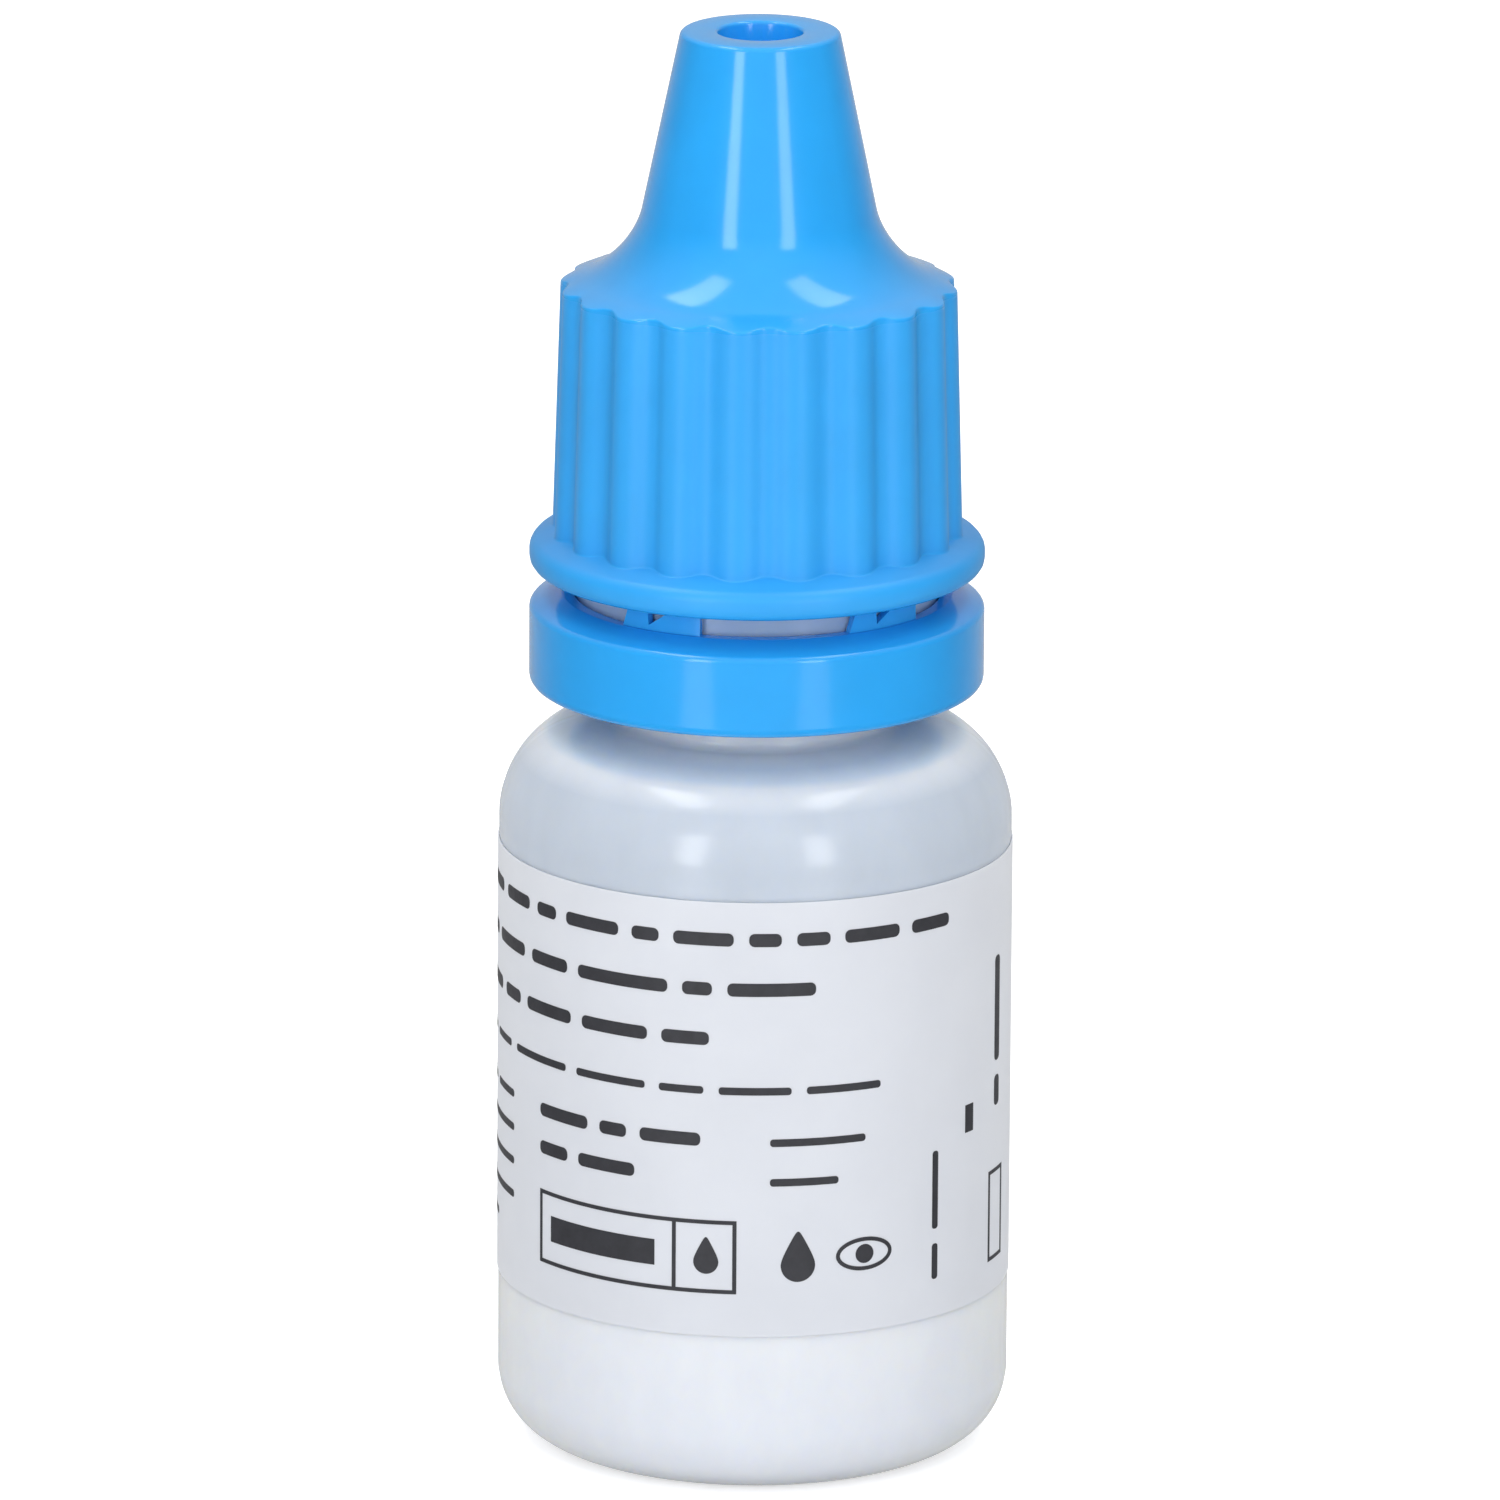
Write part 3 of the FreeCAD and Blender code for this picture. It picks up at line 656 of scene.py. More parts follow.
def cap_shell(cap):
    """Cap without ribs: pin, hollow and bore inside, flange, skirt, deck and nose outside."""
    deck_rise = math.tan(cap.deck_pitch)
    nose_taper = math.tan(cap.nose_half_angle)
    draft = math.tan(cap.skirt_draft)
    flange_high = cap.flange_low + cap.flange_height
    deck_width = cap.skirt_radius - nose_at(cap, cap.deck)
    knee = cap.deck + deck_width * deck_rise / (1 - deck_rise * nose_taper)
    foot_radius = cap.skirt_radius + (cap.deck - flange_high) * draft
    foot = flange_high + (cap.flange_radius - foot_radius) * math.tan(cap.flange_pitch)
    recess_floor = cap.nose_tip - cap.recess_depth
    return turned((
        (0, cap.pin_low, 0),
        (cap.pin_radius, cap.pin_low, cap.recess_round),
        (cap.pin_radius, cap.hollow_top, cap.recess_round),
        (nose_at(cap, cap.hollow_top) - cap.nose_wall, cap.hollow_top, cap.hollow_round),
        (nose_at(cap, cap.bore_top) - cap.nose_wall, cap.bore_top, 0),
        (cap.bore, cap.bore_top, cap.recess_round),
        (cap.bore, cap.flange_low, cap.recess_round),
        (cap.flange_radius, cap.flange_low, cap.flange_round),
        (cap.flange_radius, flange_high, cap.flange_round),
        (foot_radius, foot, cap.skirt_round),
        (cap.skirt_radius, cap.deck, cap.skirt_round),
        (nose_at(cap, knee), knee, cap.nose_fillet),
        (cap.nose_radius, cap.nose_tip, cap.nose_round),
        (cap.recess_radius, cap.nose_tip, cap.recess_round),
        (cap.recess_radius - cap.recess_taper, recess_floor, cap.recess_round),
        (0, recess_floor, 0),
    ), steps=cap.rib_count * RIB_STEPS)


def groove_depth(cap, turn):
    """Depth of the grip surface under the crests at an angle: round crests, round grooves."""
    pitch = math.tau / cap.rib_count
    off_crest = abs((turn - cap.rib_phase + pitch / 2) % pitch - pitch / 2) / (pitch / 2)
    if off_crest < cap.rib_crest:
        return cap.rib_depth * off_crest ** 2 / cap.rib_crest
    return cap.rib_depth * (1 - (1 - off_crest) ** 2 / (1 - cap.rib_crest))


def press_ribs(bm, cap):
    """Presses the grooves into the skirt, keeping its ends on the flange's slope and the deck."""
    middle = (cap.flange_low + cap.deck) / 2
    skirt_low = cap.flange_low + cap.flange_height + cap.flange_round / 2
    inside = cap.skirt_radius - cap.skirt_round
    for vert in bm.verts:
        radius = vert.co.xy.length
        if radius < inside or vert.co.z < skirt_low:
            continue
        depth = groove_depth(cap, front_angle(vert.co))
        vert.co.xy *= (radius - depth) / radius
        vert.co.z += depth * math.tan(cap.deck_pitch if vert.co.z > middle else cap.flange_pitch)


class EYEDROP_OT_cap(bpy.types.Operator):
    """Screw cap with grip ribs, flange bead, nose and recess outside, thread and pin inside"""

    bl_idname = "eye_drop.cap"
    bl_label = "Screw cap"

    def execute(self, context):
        settings = context.scene.eye_drop
        cap, thread = settings.cap, settings.thread
        bm = cap_shell(cap)
        press_ribs(bm, cap)
        join(bm, thread_ridge(thread, cap.bore, -1, thread.cap_start, thread.cap_turns))
        plastic = blue_plastic(settings.finish, cap)
        place(bm, "ribbed_screw_cap", plastic, "cap", "screw_cap")
        return {"FINISHED"}


LABEL_COLUMNS = 360


def label_film_sheet(label):
    """Film with rounded corners, wrapped round the body and thickened."""
    bm = bmesh.new()
    film_radius = label.radius - label.ink
    girth = math.tau * label.radius - label.seam
    tall = label.high - label.low
    middle = (label.high + label.low) / 2
    bmesh.ops.create_grid(
        bm, x_segments=LABEL_COLUMNS, y_segments=2, size=0.5,
        matrix=Matrix.Translation((0, middle, 0)) @ Matrix.Diagonal((girth, tall, 1, 1)),
    )
    for vert in bm.verts:
        short = label.corner_round - (girth / 2 - abs(vert.co.x))
        if short > 0:
            cut = label.corner_round - math.sqrt(max(0, label.corner_round ** 2 - short ** 2))
            vert.co.y = middle + (vert.co.y - middle) * (tall - 2 * cut) / tall
    wrap(bm, film_radius - label.thickness)
    thicken_outwards(bm, film_radius)
    return bm


class EYEDROP_OT_label(bpy.types.Operator):
    """Film label wrapped round the body, with a bare seam at the back"""

    bl_idname = "eye_drop.label"
    bl_label = "Label"

    def execute(self, context):
        settings = context.scene.eye_drop
        film = label_film(settings.finish)
        place(label_film_sheet(settings.label), "wrap_label", film, "filled_bottle", "label")
        return {"FINISHED"}


# Blind print, in millimetres: x along the girth from the front, y above the label's lower edge.
# Rows of word bars as (y, first x, last x), bold and light.
BOLD_ROWS = ((20.0, -33, 10.6), (17.5, -33, 3.0), (15.0, -33, -2.2), (9.9, -12.2, -2.6), (8.0, -12.2, -6.0))
LIGHT_ROWS = ((12.4, -33, 6.4), (9.8, 0.8, 5.6), (7.8, 0.8, 4.2), (9.9, -33, -15), (8.2, -33, -15),
              (6.5, -33, -15), (4.8, -33, -15), (3.1, -33, -18), (5.4, 21, 35), (3.8, 21, 35), (2.2, 21, 31))
# Rows that run up the label, as (x, first y, last y)
UPRIGHT_BOLD_ROWS = ((15.4, 9.4, 17.0),)
UPRIGHT_LIGHT_ROWS = ((9.8, 1.9, 8.4),)
# Title bars of the far side, as (y, first x, last x, height)
TITLE_BARS = ((11.6, 21, 34, 2.0), (8.4, 21, 30, 1.2))
# Frames as (middle x, middle y, width, height), and the rule that parts the first
FRAMES = ((-6.5, 4.0, 11.4, 3.7), (15.4, 3.9, 1.9, 4.6))
FRAME_RULE = (-3.9, 4.0, 3.5)
# Solid blocks as (middle x, middle y, width, height)
BLOCKS = ((12.4, 9.5, 0.7, 1.4), (-8.1, 4.0, 6.4, 1.3))
# Drops as (middle x, middle y, radius), eyes as (middle x, middle y, half width)
DROPS = ((-2.3, 3.75, 0.62), (2.2, 3.6, 0.85))
EYES = ((5.6, 3.9, 1.5),)
TITLE_DROP = (27.5, 16.3, 1.9)
WORD_LENGTHS = (1.3, 5.2)
WORD_GAP = 0.75
PRINT_SEED = 7
# Rounding of a bar's corners as a share of its height, and segments of a corner and of a drop or oval
BAR_ROUNDING = 0.4
CORNER_SEGMENTS = 4
DROP_SEGMENTS = 48
# Rise of a drop's point over its disc and its taper, and height and pupil of an eye, in shares of the radius
DROP_POINT = 1.0
DROP_TAPER = 0.5
EYE_HEIGHT = 0.56
PUPIL_SIZE = 0.32


def flat_box(bm, x, y, width, tall):
    """Flat rectangle about a middle, as its corners."""
    middle = Matrix.Translation((x, y, 0)) @ Matrix.Diagonal((width, tall, 1, 1))
    return bmesh.ops.create_grid(bm, x_segments=1, y_segments=1, size=0.5, matrix=middle)["verts"]


def print_block(bm, x, y, width, tall, rounding=0):
    """Solid block of ink with rounded corners."""
    corners = flat_box(bm, x, y, width, tall)
    if rounding:
        round_off(bm, corners, rounding, CORNER_SEGMENTS, clamp=True)


def word_spans(draw, first, last):
    """Starts and ends of words of random length that fill a row."""
    start = first
    while last - start > WORD_LENGTHS[0]:
        end = start + draw.uniform(*WORD_LENGTHS)
        if last - end < WORD_GAP + WORD_LENGTHS[0]:
            end = last
        yield start, end
        start = end + WORD_GAP


def print_rows(bm, rows, bar, draw, upright=False):
    """Rows of word bars along the girth, or up the label."""
    rounding = BAR_ROUNDING * bar
    for across, first, last in rows:
        for start, end in word_spans(draw, first, last):
            middle, size = (start + end) / 2, end - start
            if upright:
                print_block(bm, across, middle, bar, size, rounding)
            else:
                print_block(bm, middle, across, size, bar, rounding)


def hollow_out(bm, corners, rule):
    """Leaves a rule's width along the edge of a flat face."""
    inside = list({face for vert in corners for face in vert.link_faces})
    bmesh.ops.inset_region(bm, faces=inside, thickness=rule, use_boundary=True, use_even_offset=True)
    bmesh.ops.delete(bm, geom=inside, context="FACES")


def print_disc(bm, x, y, radius, tall, solid):
    """Round or oval face, cut in triangles where it is to stay solid."""
    middle = Matrix.Translation((x, y, 0)) @ Matrix.Diagonal((1, tall, 1, 1))
    return bmesh.ops.create_circle(
        bm, cap_ends=True, cap_tris=solid, segments=DROP_SEGMENTS, radius=radius, matrix=middle
    )["verts"]


def print_drop(bm, x, y, radius):
    """Solid drop: a disc whose top is drawn to a point."""
    for vert in print_disc(bm, x, y, radius, 1, True):
        up = (vert.co.y - y) / radius
        if up > 0:
            vert.co.y += DROP_POINT * radius * up ** 2
            vert.co.x = x + (vert.co.x - x) * (1 - DROP_TAPER * up ** 2)


def print_eye(bm, x, y, half_width, rule):
    """Open eye: an oval outline round a solid pupil."""
    hollow_out(bm, print_disc(bm, x, y, half_width, EYE_HEIGHT, False), rule)
    print_disc(bm, x, y, half_width * PUPIL_SIZE, 1, True)


def ink_on_label(bm, label):
    """Scales a flat drawing to metres, bends it round the label and gives the ink its thickness."""
    bmesh.ops.scale(bm, vec=(MM, MM, MM), verts=bm.verts)
    bmesh.ops.translate(bm, vec=(0, label.low, 0), verts=bm.verts)
    cut_columns(bm, PRINT_CHORD)
    wrap(bm, label.radius - label.ink)
    thicken_outwards(bm, label.radius)
    return bm


class EYEDROP_OT_print(bpy.types.Operator):
    """Blind print: bars for words, frames, drops and an eye, and nothing that can be read"""

    bl_idname = "eye_drop.print"
    bl_label = "Label print"

    def execute(self, context):
        settings = context.scene.eye_drop
        label = settings.label
        draw = random.Random(PRINT_SEED)
        bold, light, rule = label.bold_bar / MM, label.light_bar / MM, label.rule / MM
        bm = bmesh.new()
        print_rows(bm, BOLD_ROWS, bold, draw)
        print_rows(bm, LIGHT_ROWS, light, draw)
        print_rows(bm, UPRIGHT_BOLD_ROWS, bold, draw, upright=True)
        print_rows(bm, UPRIGHT_LIGHT_ROWS, light, draw, upright=True)
        for outline in FRAMES:
            hollow_out(bm, flat_box(bm, *outline), rule)
        x, y, tall = FRAME_RULE
        print_block(bm, x, y, rule, tall)
        for block in BLOCKS:
            print_block(bm, *block)
        for drop in DROPS:
            print_drop(bm, *drop)
        for eye in EYES:
            print_eye(bm, *eye, rule)
        finish = settings.finish
        ink = printing_ink("printing ink", finish.ink)
        place(ink_on_label(bm, label), "label_print", ink, "filled_bottle", None)
        bm = bmesh.new()
        print_drop(bm, *TITLE_DROP)
        for y, first, last, tall in TITLE_BARS:
            print_block(bm, (first + last) / 2, y, last - first, tall, tall * BAR_ROUNDING)
        accent = printing_ink("accent ink", finish.accent)
        place(ink_on_label(bm, label), "label_accent_print", accent, "filled_bottle", None)
        return {"FINISHED"}


def set_inputs(tree, node, values):
    """Sets a node's inputs to plain values, or links them to sockets."""
    for key, value in values.items():
        if isinstance(value, bpy.types.NodeSocket):
            tree.links.new(value, node.inputs[key])
        else:
            node.inputs[key].default_value = value


def add_node(tree, kind, values=None, **settings):
    """New node with its settings and inputs."""
    made = tree.nodes.new(kind)
    for key, value in settings.items():
        setattr(made, key, value)
    set_inputs(tree, made, values or {})
    return made


def maths(tree, operation, *terms):
    """Result of a maths node on numbers and sockets."""
    values = dict(enumerate(terms))
    return add_node(tree, "ShaderNodeMath", values, operation=operation).outputs["Value"]


def map_range(tree, source, start, full, low=0, high=1, curve="LINEAR"):
    """Value that goes from low to high while its source goes from start to full."""
    values = {"Value": source, "From Min": start, "From Max": full, "To Min": low, "To Max": high}
    return add_node(tree, "ShaderNodeMapRange", values, interpolation_type=curve).outputs["Result"]


def scaled(tree, source, factor):
    """Colour times a factor."""
    values = {"Vector": source, "Scale": factor}
    return add_node(tree, "ShaderNodeVectorMath", values, operation="SCALE").outputs["Vector"]


def noise(tree, place_on, scale, detail, roughness):
    """Noise pattern from 0 to 1."""
    values = {"Vector": place_on, "Scale": scale, "Detail": detail, "Roughness": roughness}
    return add_node(tree, "ShaderNodeTexNoise", values).outputs["Fac"]


def opaque(rgb):
    """Colour with full alpha."""
    return (*rgb, 1)


SURFACE_INPUTS = {
    "Vector": "NodeSocketVector",
    "Color": "NodeSocketColor",
    "Cloud Depth": "NodeSocketFloat",
    "Cloud Scale": "NodeSocketFloat",
    "Grain Scale": "NodeSocketFloat",
    "Roughness": "NodeSocketFloat",
    "Roughness Spread": "NodeSocketFloat",
}
SURFACE_OUTPUTS = {
    "Color": "NodeSocketColor",
    "Roughness": "NodeSocketFloat",
    "Height": "NodeSocketFloat",
}
# Noise levels between which the clouds in a surface thicken, and depths of its grain
CLOUD_EDGES = (0.35, 0.65)
FINE_GRAIN = 0.0008 * MM
INK_GRAIN = 0.001 * MM
COARSE_GRAIN = 0.002 * MM


def moulded_surface():
    """Node group of a moulded surface: cloudy colour, uneven gloss and a fine grain."""
    name = "Moulded surface"
    if name in bpy.data.node_groups:
        return bpy.data.node_groups[name]
    group = bpy.data.node_groups.new(name, "ShaderNodeTree")
    for side, sockets in (("INPUT", SURFACE_INPUTS), ("OUTPUT", SURFACE_OUTPUTS)):
        for socket, kind in sockets.items():
            group.interface.new_socket(socket, in_out=side, socket_type=kind)
    given = add_node(group, "NodeGroupInput").outputs
    cloud = noise(group, given["Vector"], given["Cloud Scale"], detail=4, roughness=0.55)
    grain = noise(group, given["Vector"], given["Grain Scale"], detail=2, roughness=0.5)
    dense = map_range(group, cloud, *CLOUD_EDGES)
    clear = maths(group, "SUBTRACT", 1, maths(group, "MULTIPLY", dense, given["Cloud Depth"]))
    uneven = maths(group, "SUBTRACT", maths(group, "ADD", cloud, grain), 1)
    add_node(group, "NodeGroupOutput", {
        "Color": scaled(group, given["Color"], clear),
        "Roughness": maths(group, "MULTIPLY_ADD", uneven, given["Roughness Spread"], given["Roughness"]),
        "Height": grain,
    })
    return group


def moulded(name, surface, shader, grain_depth, stretch=(1, 1, 1)):
    """Material with a moulded surface and plain shader values."""
    material = bpy.data.materials.new(name)
    material.use_nodes = True
    tree = material.node_tree
    place_on = add_node(tree, "ShaderNodeTexCoord").outputs["Object"]
    stretched = add_node(tree, "ShaderNodeMapping", {"Vector": place_on, "Scale": stretch})
    values = {"Vector": stretched.outputs["Vector"], **surface}
    group = add_node(tree, "ShaderNodeGroup", values, node_tree=moulded_surface()).outputs
    relief = {"Strength": 1, "Distance": grain_depth, "Height": group["Height"]}
    set_inputs(tree, tree.nodes["Principled BSDF"], {
        **shader,
        "Base Color": group["Color"],
        "Roughness": group["Roughness"],
        "Normal": add_node(tree, "ShaderNodeBump", relief).outputs["Normal"],
    })
    return material


def scattering(ior, weight, depth, radius=(1, 1, 1)):
    """Shader values of a plastic that light enters a little way."""
    return {
        "IOR": ior,
        "Subsurface Weight": weight,
        "Subsurface Radius": radius,
        "Subsurface Scale": depth,
    }


def object_height(tree):
    """Height of the shaded point in the piece's own frame."""
    place_on = add_node(tree, "ShaderNodeTexCoord").outputs["Object"]
    return add_node(tree, "ShaderNodeSeparateXYZ", {"Vector": place_on}).outputs["Z"]


# Painted light and shade by facing: how much of its colour a surface shows from straight ahead and at its
# limb
BLUE_PAINTED_LIMB_SHADE = (0.99, 0.72)
MILKY_PAINTED_LIMB_LIGHT = (0.96, 1.03)
FILM_PAINTED_LIMB_LIGHT = (0.97, 1.06)
LIMB_FROM = 0.3


def plain_colour(tree, rgb):
    """Colour that is the same everywhere."""
    source = add_node(tree, "ShaderNodeRGB").outputs["Color"]
    source.default_value = opaque(rgb)
    return source


def paint_limb_light_and_shade(tree, source, shares):
    """Paints limb light and shade into a colour by how far the surface turns away, on its way to the moulded
    surface.
    """
    turned_away = add_node(tree, "ShaderNodeLayerWeight", {"Blend": 0.5}).outputs["Facing"]
    level = map_range(tree, turned_away, LIMB_FROM, 1, *shares)
    set_inputs(tree, tree.nodes["Group"], {"Color": scaled(tree, source, level)})


def blue_plastic(finish, cap):
    """Satin blue polypropylene of cap, ring and bridges, duller on the grip, with painted shade towards its
    limb.
    """
    name = "blue plastic"
    if name in bpy.data.materials:
        return bpy.data.materials[name]
    wall = scattering(ior=1.49, weight=0.12, depth=0.5 * MM, radius=(0.3, 0.7, 1))
    material = moulded(name, {
        "Cloud Depth": 0.05,
        "Cloud Scale": 220,
        "Grain Scale": 2500,
        "Roughness Spread": 0.04,
    }, wall, grain_depth=FINE_GRAIN)
    tree = material.node_tree
    middle = (cap.flange_low + cap.deck) / 2
    grip = cap.deck - middle
    off_middle = maths(tree, "ABSOLUTE", maths(tree, "SUBTRACT", object_height(tree), middle))
    dull, glossy = finish.grip_roughness, finish.blue_roughness
    gloss = map_range(tree, off_middle, grip - cap.flange_round / 2, grip, dull, glossy)
    set_inputs(tree, tree.nodes["Group"], {"Roughness": gloss})
    # Painted shade: the blue darkens towards its limb
    paint_limb_light_and_shade(tree, plain_colour(tree, finish.blue), BLUE_PAINTED_LIMB_SHADE)
    return material


def milky_plastic(finish, bottle, label):
    """Frosted, milky polyethylene with faint upright streaks, white over the liquid, with painted shade
    greying the shoulder where air is behind the wall, and painted light and shade laid along its height.
    """
    wall = scattering(ior=1.51, weight=1, depth=0.7 * MM, radius=(1, 0.9, 0.75))
    material = moulded("milky plastic", {
        "Cloud Depth": 0.03,
        "Cloud Scale": 500,
        "Grain Scale": 3500,
        "Roughness": 0.18,
        "Roughness Spread": 0.05,
    }, wall, grain_depth=FINE_GRAIN, stretch=(1, 1, 0.5))
    tree = material.node_tree
    ramp = add_node(tree, "ShaderNodeValToRGB", {"Fac": map_range(tree, object_height(tree), 0, bottle.rim)})
    crest_width = 2 * bottle.wall
    shade_blur = bottle.wall / 8
    neck_blur = bottle.wall / 6
    # Colour by height, with painted light and shade: darker towards the foot, lightest at the label's lower
    # edge as a painted broad highlight, painted shade on the shoulder where air is behind the wall, a
    # painted light crest, the cap's painted shade band, painted light at the foot of the neck under the
    # ring, and painted shade on the collar under the cap
    stops = (
        (bottle.base_round, finish.base),
        (label.low, finish.body),
        (bottle.body_top - bottle.shoulder_round, finish.shoulder),
        (bottle.body_top - crest_width, finish.shoulder),
        (bottle.shade_edge, finish.crest),
        (bottle.shade_edge + shade_blur, finish.shade),
        (bottle.body_top - neck_blur, finish.shade),
        (bottle.body_top, finish.neck),
        (bottle.collar_low, finish.collar),
    )
    for i, (level, tone) in enumerate(stops):
        at = level / bottle.rim
        stop = ramp.color_ramp.elements.new(at) if i > 1 else ramp.color_ramp.elements[i]
        stop.position = at
        stop.color = opaque(tone)
    # Painted light: the milky wall is a little darker face-on and brightens towards its limb
    paint_limb_light_and_shade(tree, ramp.outputs["Color"], MILKY_PAINTED_LIMB_LIGHT)
    return material


def natural_plastic(finish):
    """Uncoloured polyethylene of the dropper insert."""
    return moulded("natural plastic", {
        "Color": opaque(finish.natural),
        "Cloud Depth": 0.08,
        "Cloud Scale": 300,
        "Grain Scale": 7000,
        "Roughness": 0.35,
        "Roughness Spread": 0.08,
    }, scattering(ior=1.51, weight=1, depth=0.8 * MM), grain_depth=COARSE_GRAIN)


def label_film(finish):
    """Satin film of the label, thin enough to let light through, with painted light towards its limb."""
    material = moulded("label film", {
        "Cloud Depth": 0.03,
        "Cloud Scale": 160,
        "Grain Scale": 4000,
        "Roughness": 0.42,
        "Roughness Spread": 0.08,
    }, scattering(ior=1.46, weight=1, depth=0.06 * MM), grain_depth=COARSE_GRAIN)
    tree = material.node_tree
    # Painted light: the film is a little darker face-on and brightens towards its limb
    paint_limb_light_and_shade(tree, plain_colour(tree, finish.film), FILM_PAINTED_LIMB_LIGHT)
    return material


def printing_ink(name, tone):
    """Printing ink, thin in places."""
    return moulded(name, {
        "Color": opaque(tone),
        "Cloud Depth": 0.15,
        "Cloud Scale": 1500,
        "Grain Scale": 6000,
        "Roughness": 0.5,
        "Roughness Spread": 0.1,
    }, {"IOR": 1.45}, grain_depth=INK_GRAIN)


def clear_solution(finish):
    """Clear liquid whose surface is a little uneven."""
    return moulded("clear solution", {
        "Color": opaque(finish.solution),
        "Cloud Depth": 0.01,
        "Cloud Scale": 80,
        "Grain Scale": 200,
        "Roughness": 0.02,
        "Roughness Spread": 0.02,
    }, {"IOR": 1.333, "Transmission Weight": 1}, grain_depth=COARSE_GRAIN)


WHITE = (1, 1, 1, 1)


def seen_directly(tree):
    """Value that is 1 for what the camera sees, also through clear walls, and 0 for light."""
    path = add_node(tree, "ShaderNodeLightPath").outputs
    return maths(tree, "MAXIMUM", path["Is Camera Ray"], path["Is Transmission Ray"])


def white_floor(studio):
    """Matt white floor that looks white where it is lit and keeps its shadows."""
    material = bpy.data.materials.new("white floor")
    material.use_nodes = True
    tree = material.node_tree
    tree.nodes.remove(tree.nodes["Principled BSDF"])
    matt = add_node(tree, "ShaderNodeBsdfDiffuse", {"Color": opaque((studio.floor_tone,) * 3)})
    level = maths(tree, "MULTIPLY", seen_directly(tree), studio.floor_glow)
    glow = add_node(tree, "ShaderNodeEmission", {"Strength": level})
    both = add_node(tree, "ShaderNodeAddShader", {0: matt.outputs["BSDF"], 1: glow.outputs["Emission"]})
    set_inputs(tree, tree.nodes["Material Output"], {"Surface": both.outputs["Shader"]})
    return material


def light_tent(studio):
    """World that looks white, and lights the object from its ceiling, its back and behind the camera."""
    world = bpy.data.worlds.new("light tent")
    world.use_nodes = True
    tree = world.node_tree
    direction = add_node(tree, "ShaderNodeTexCoord").outputs["Generated"]
    axes = add_node(tree, "ShaderNodeSeparateXYZ", {"Vector": direction}).outputs
    ceiling, fill, back = (
        map_range(tree, axes[axis], start, full, low, high, "SMOOTHSTEP")
        for axis, start, full, low, high in (
            ("Z", studio.ceiling_from, studio.ceiling_to, studio.wall_level, studio.ceiling_level),
            ("Y", -studio.fill_from, -1, 0, studio.fill_level),
            ("Y", studio.back_from, 1, 0, studio.back_level),
        )
    )
    level = maths(tree, "ADD", ceiling, maths(tree, "ADD", fill, back))
    light = tree.nodes["Background"]
    set_inputs(tree, light, {"Color": WHITE, "Strength": level})
    white = add_node(tree, "ShaderNodeBackground", {"Color": WHITE, "Strength": 1})
    choice = add_node(tree, "ShaderNodeMixShader", {
        "Fac": seen_directly(tree),
        1: light.outputs["Background"],
        2: white.outputs["Background"],
    })
    set_inputs(tree, tree.nodes["World Output"], {"Surface": choice.outputs["Shader"]})
    return world


def seen_from(azimuth, elevation):
    """Direction from the object towards a place in the studio, azimuth 0 at the camera's side."""
    flat = math.cos(elevation)
    return Vector((math.sin(azimuth) * flat, -math.cos(azimuth) * flat, math.sin(elevation)))


def light_panel(name, size, power, location, facing):
    """Rectangular light panel that shines along a direction and isn't seen by the camera."""
    panel = bpy.data.lights.new(name, "AREA")
    panel.shape = "RECTANGLE"
    panel.size, panel.size_y = size
    panel.energy = power
    lamp = bpy.data.objects.new(name, panel)
    lamp.location = location
    lamp.rotation_mode = "QUATERNION"
    lamp.rotation_quaternion = facing
    lamp.visible_camera = False
    bpy.context.scene.collection.objects.link(lamp)


def hang_panel(name, aim, direction, distance, size, power):
    """Light panel that hangs in a direction from the object and faces it."""
    light_panel(name, size, power, aim + direction * distance, (-direction).to_track_quat("-Z", "Y"))


def lay_gleam(name, studio, azimuth, power):
    """Gleam of a front panel on the table, which the upright walls of the object mirror."""
    direction = seen_from(azimuth, 0)
    size = (studio.gleam_width, studio.gleam_length)
    face_up = Matrix.Rotation(azimuth, 4, "Z") @ Matrix.Rotation(math.pi, 4, "X")
    location = direction * studio.gleam_distance + Vector((0, 0, studio.gleam_height))
    light_panel(name, size, power, location, face_up.to_quaternion())


def set_camera(studio, aim):
    """Camera with a long lens, aimed at the middle of the object."""
    back = seen_from(0, studio.camera_elevation)
    lens = bpy.data.cameras.new("camera")
    lens.lens = studio.camera_lens
    camera = bpy.data.objects.new("camera", lens)
    camera.location = aim + back * studio.camera_distance
    level = (-back).to_track_quat("-Z", "Y").to_matrix().to_4x4()
    camera.rotation_euler = (level @ Matrix.Rotation(studio.camera_roll, 4, "Z")).to_euler()
    bpy.context.scene.collection.objects.link(camera)
    bpy.context.scene.camera = camera


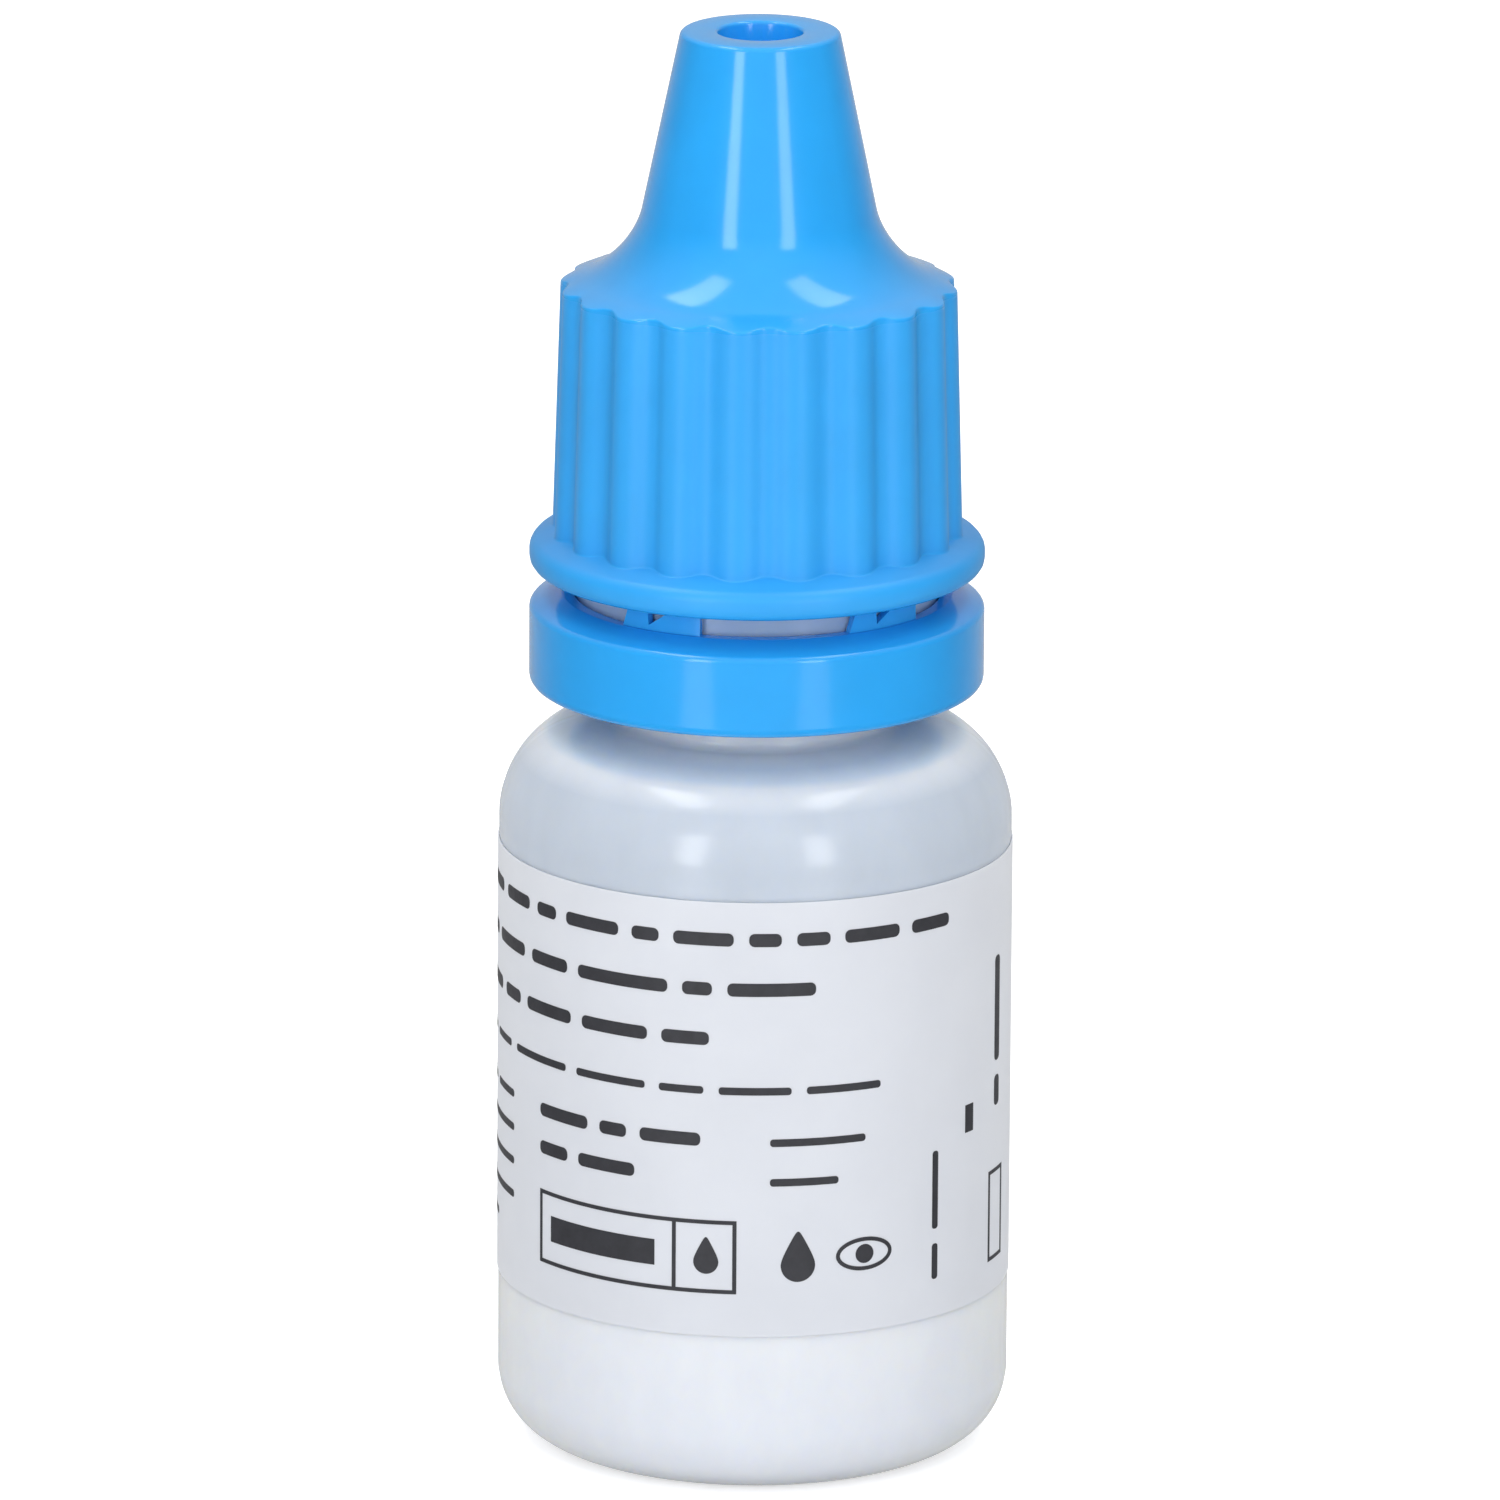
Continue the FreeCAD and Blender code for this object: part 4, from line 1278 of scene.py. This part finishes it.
class EYEDROP_OT_studio(bpy.types.Operator):
    """White floor, light tent, panels in front and on top, their gleams on the table, and the camera"""

    bl_idname = "eye_drop.studio"
    bl_label = "Studio"

    def execute(self, context):
        studio = context.scene.eye_drop.studio
        scene = context.scene
        scene.view_settings.view_transform = "Standard"
        bm = bmesh.new()
        bmesh.ops.create_grid(bm, x_segments=1, y_segments=1, size=studio.floor_size / 2)
        mesh = bpy.data.meshes.new("floor")
        bm.to_mesh(mesh)
        bm.free()
        mesh.materials.append(white_floor(studio))
        floor = bpy.data.objects.new("floor", mesh)
        scene.collection.objects.link(floor)
        floor.visible_glossy = False
        scene.world = light_tent(studio)
        aim = Vector((studio.aim_side, 0, studio.aim_height))
        for side, name in ((-1, "left"), (1, "right")):
            front = seen_from(side * studio.front_azimuth, studio.front_elevation)
            front_size = (studio.front_width, studio.front_height)
            part = 1 - side * studio.balance
            front_power = studio.front_power * part
            hang_panel("front panel " + name, aim, front, studio.panel_distance, front_size, front_power)
            lay_gleam("gleam " + name, studio, side * studio.front_azimuth, studio.gleam_power * part)
            top = seen_from(side * studio.top_azimuth, studio.top_elevation)
            top_size = (studio.top_width, studio.top_depth)
            top_power = studio.top_power * part
            hang_panel("top panel " + name, aim, top, studio.panel_distance, top_size, top_power)
        set_camera(studio, aim)
        return {"FINISHED"}


PIECE_OPERATORS = (
    EYEDROP_OT_bottle,
    EYEDROP_OT_solution,
    EYEDROP_OT_insert,
    EYEDROP_OT_label,
    EYEDROP_OT_print,
    EYEDROP_OT_ring,
    EYEDROP_OT_bridges,
    EYEDROP_OT_cap,
    EYEDROP_OT_studio,
)


class EYEDROP_PT_pieces(bpy.types.Panel):
    """Buttons for the pieces of the eye drop bottle and its studio"""

    bl_idname = "EYEDROP_PT_pieces"
    bl_label = "Eye drop bottle"
    bl_space_type = "VIEW_3D"
    bl_region_type = "UI"
    bl_category = "Eye drops"

    def draw(self, context):
        for operator in PIECE_OPERATORS:
            self.layout.operator(operator.bl_idname)


CLASSES = (
    BottleSizes,
    ThreadSizes,
    SolutionSizes,
    LabelSizes,
    InsertSizes,
    RingSizes,
    CapSizes,
    Finishes,
    Studio,
    EyeDropSettings,
    *PIECE_OPERATORS,
    EYEDROP_PT_pieces,
)


def register():
    for cls in CLASSES:
        bpy.utils.register_class(cls)
    bpy.types.Scene.eye_drop = PointerProperty(type=EyeDropSettings)


def unregister():
    del bpy.types.Scene.eye_drop
    for cls in reversed(CLASSES):
        bpy.utils.unregister_class(cls)


def main():
    register()
    bpy.ops.eye_drop.bottle()
    bpy.ops.eye_drop.solution()
    bpy.ops.eye_drop.insert()
    bpy.ops.eye_drop.label()
    bpy.ops.eye_drop.print()
    bpy.ops.eye_drop.ring()
    bpy.ops.eye_drop.bridges()
    bpy.ops.eye_drop.cap()
    bpy.ops.eye_drop.studio()


if __name__ == "__main__":
    main()
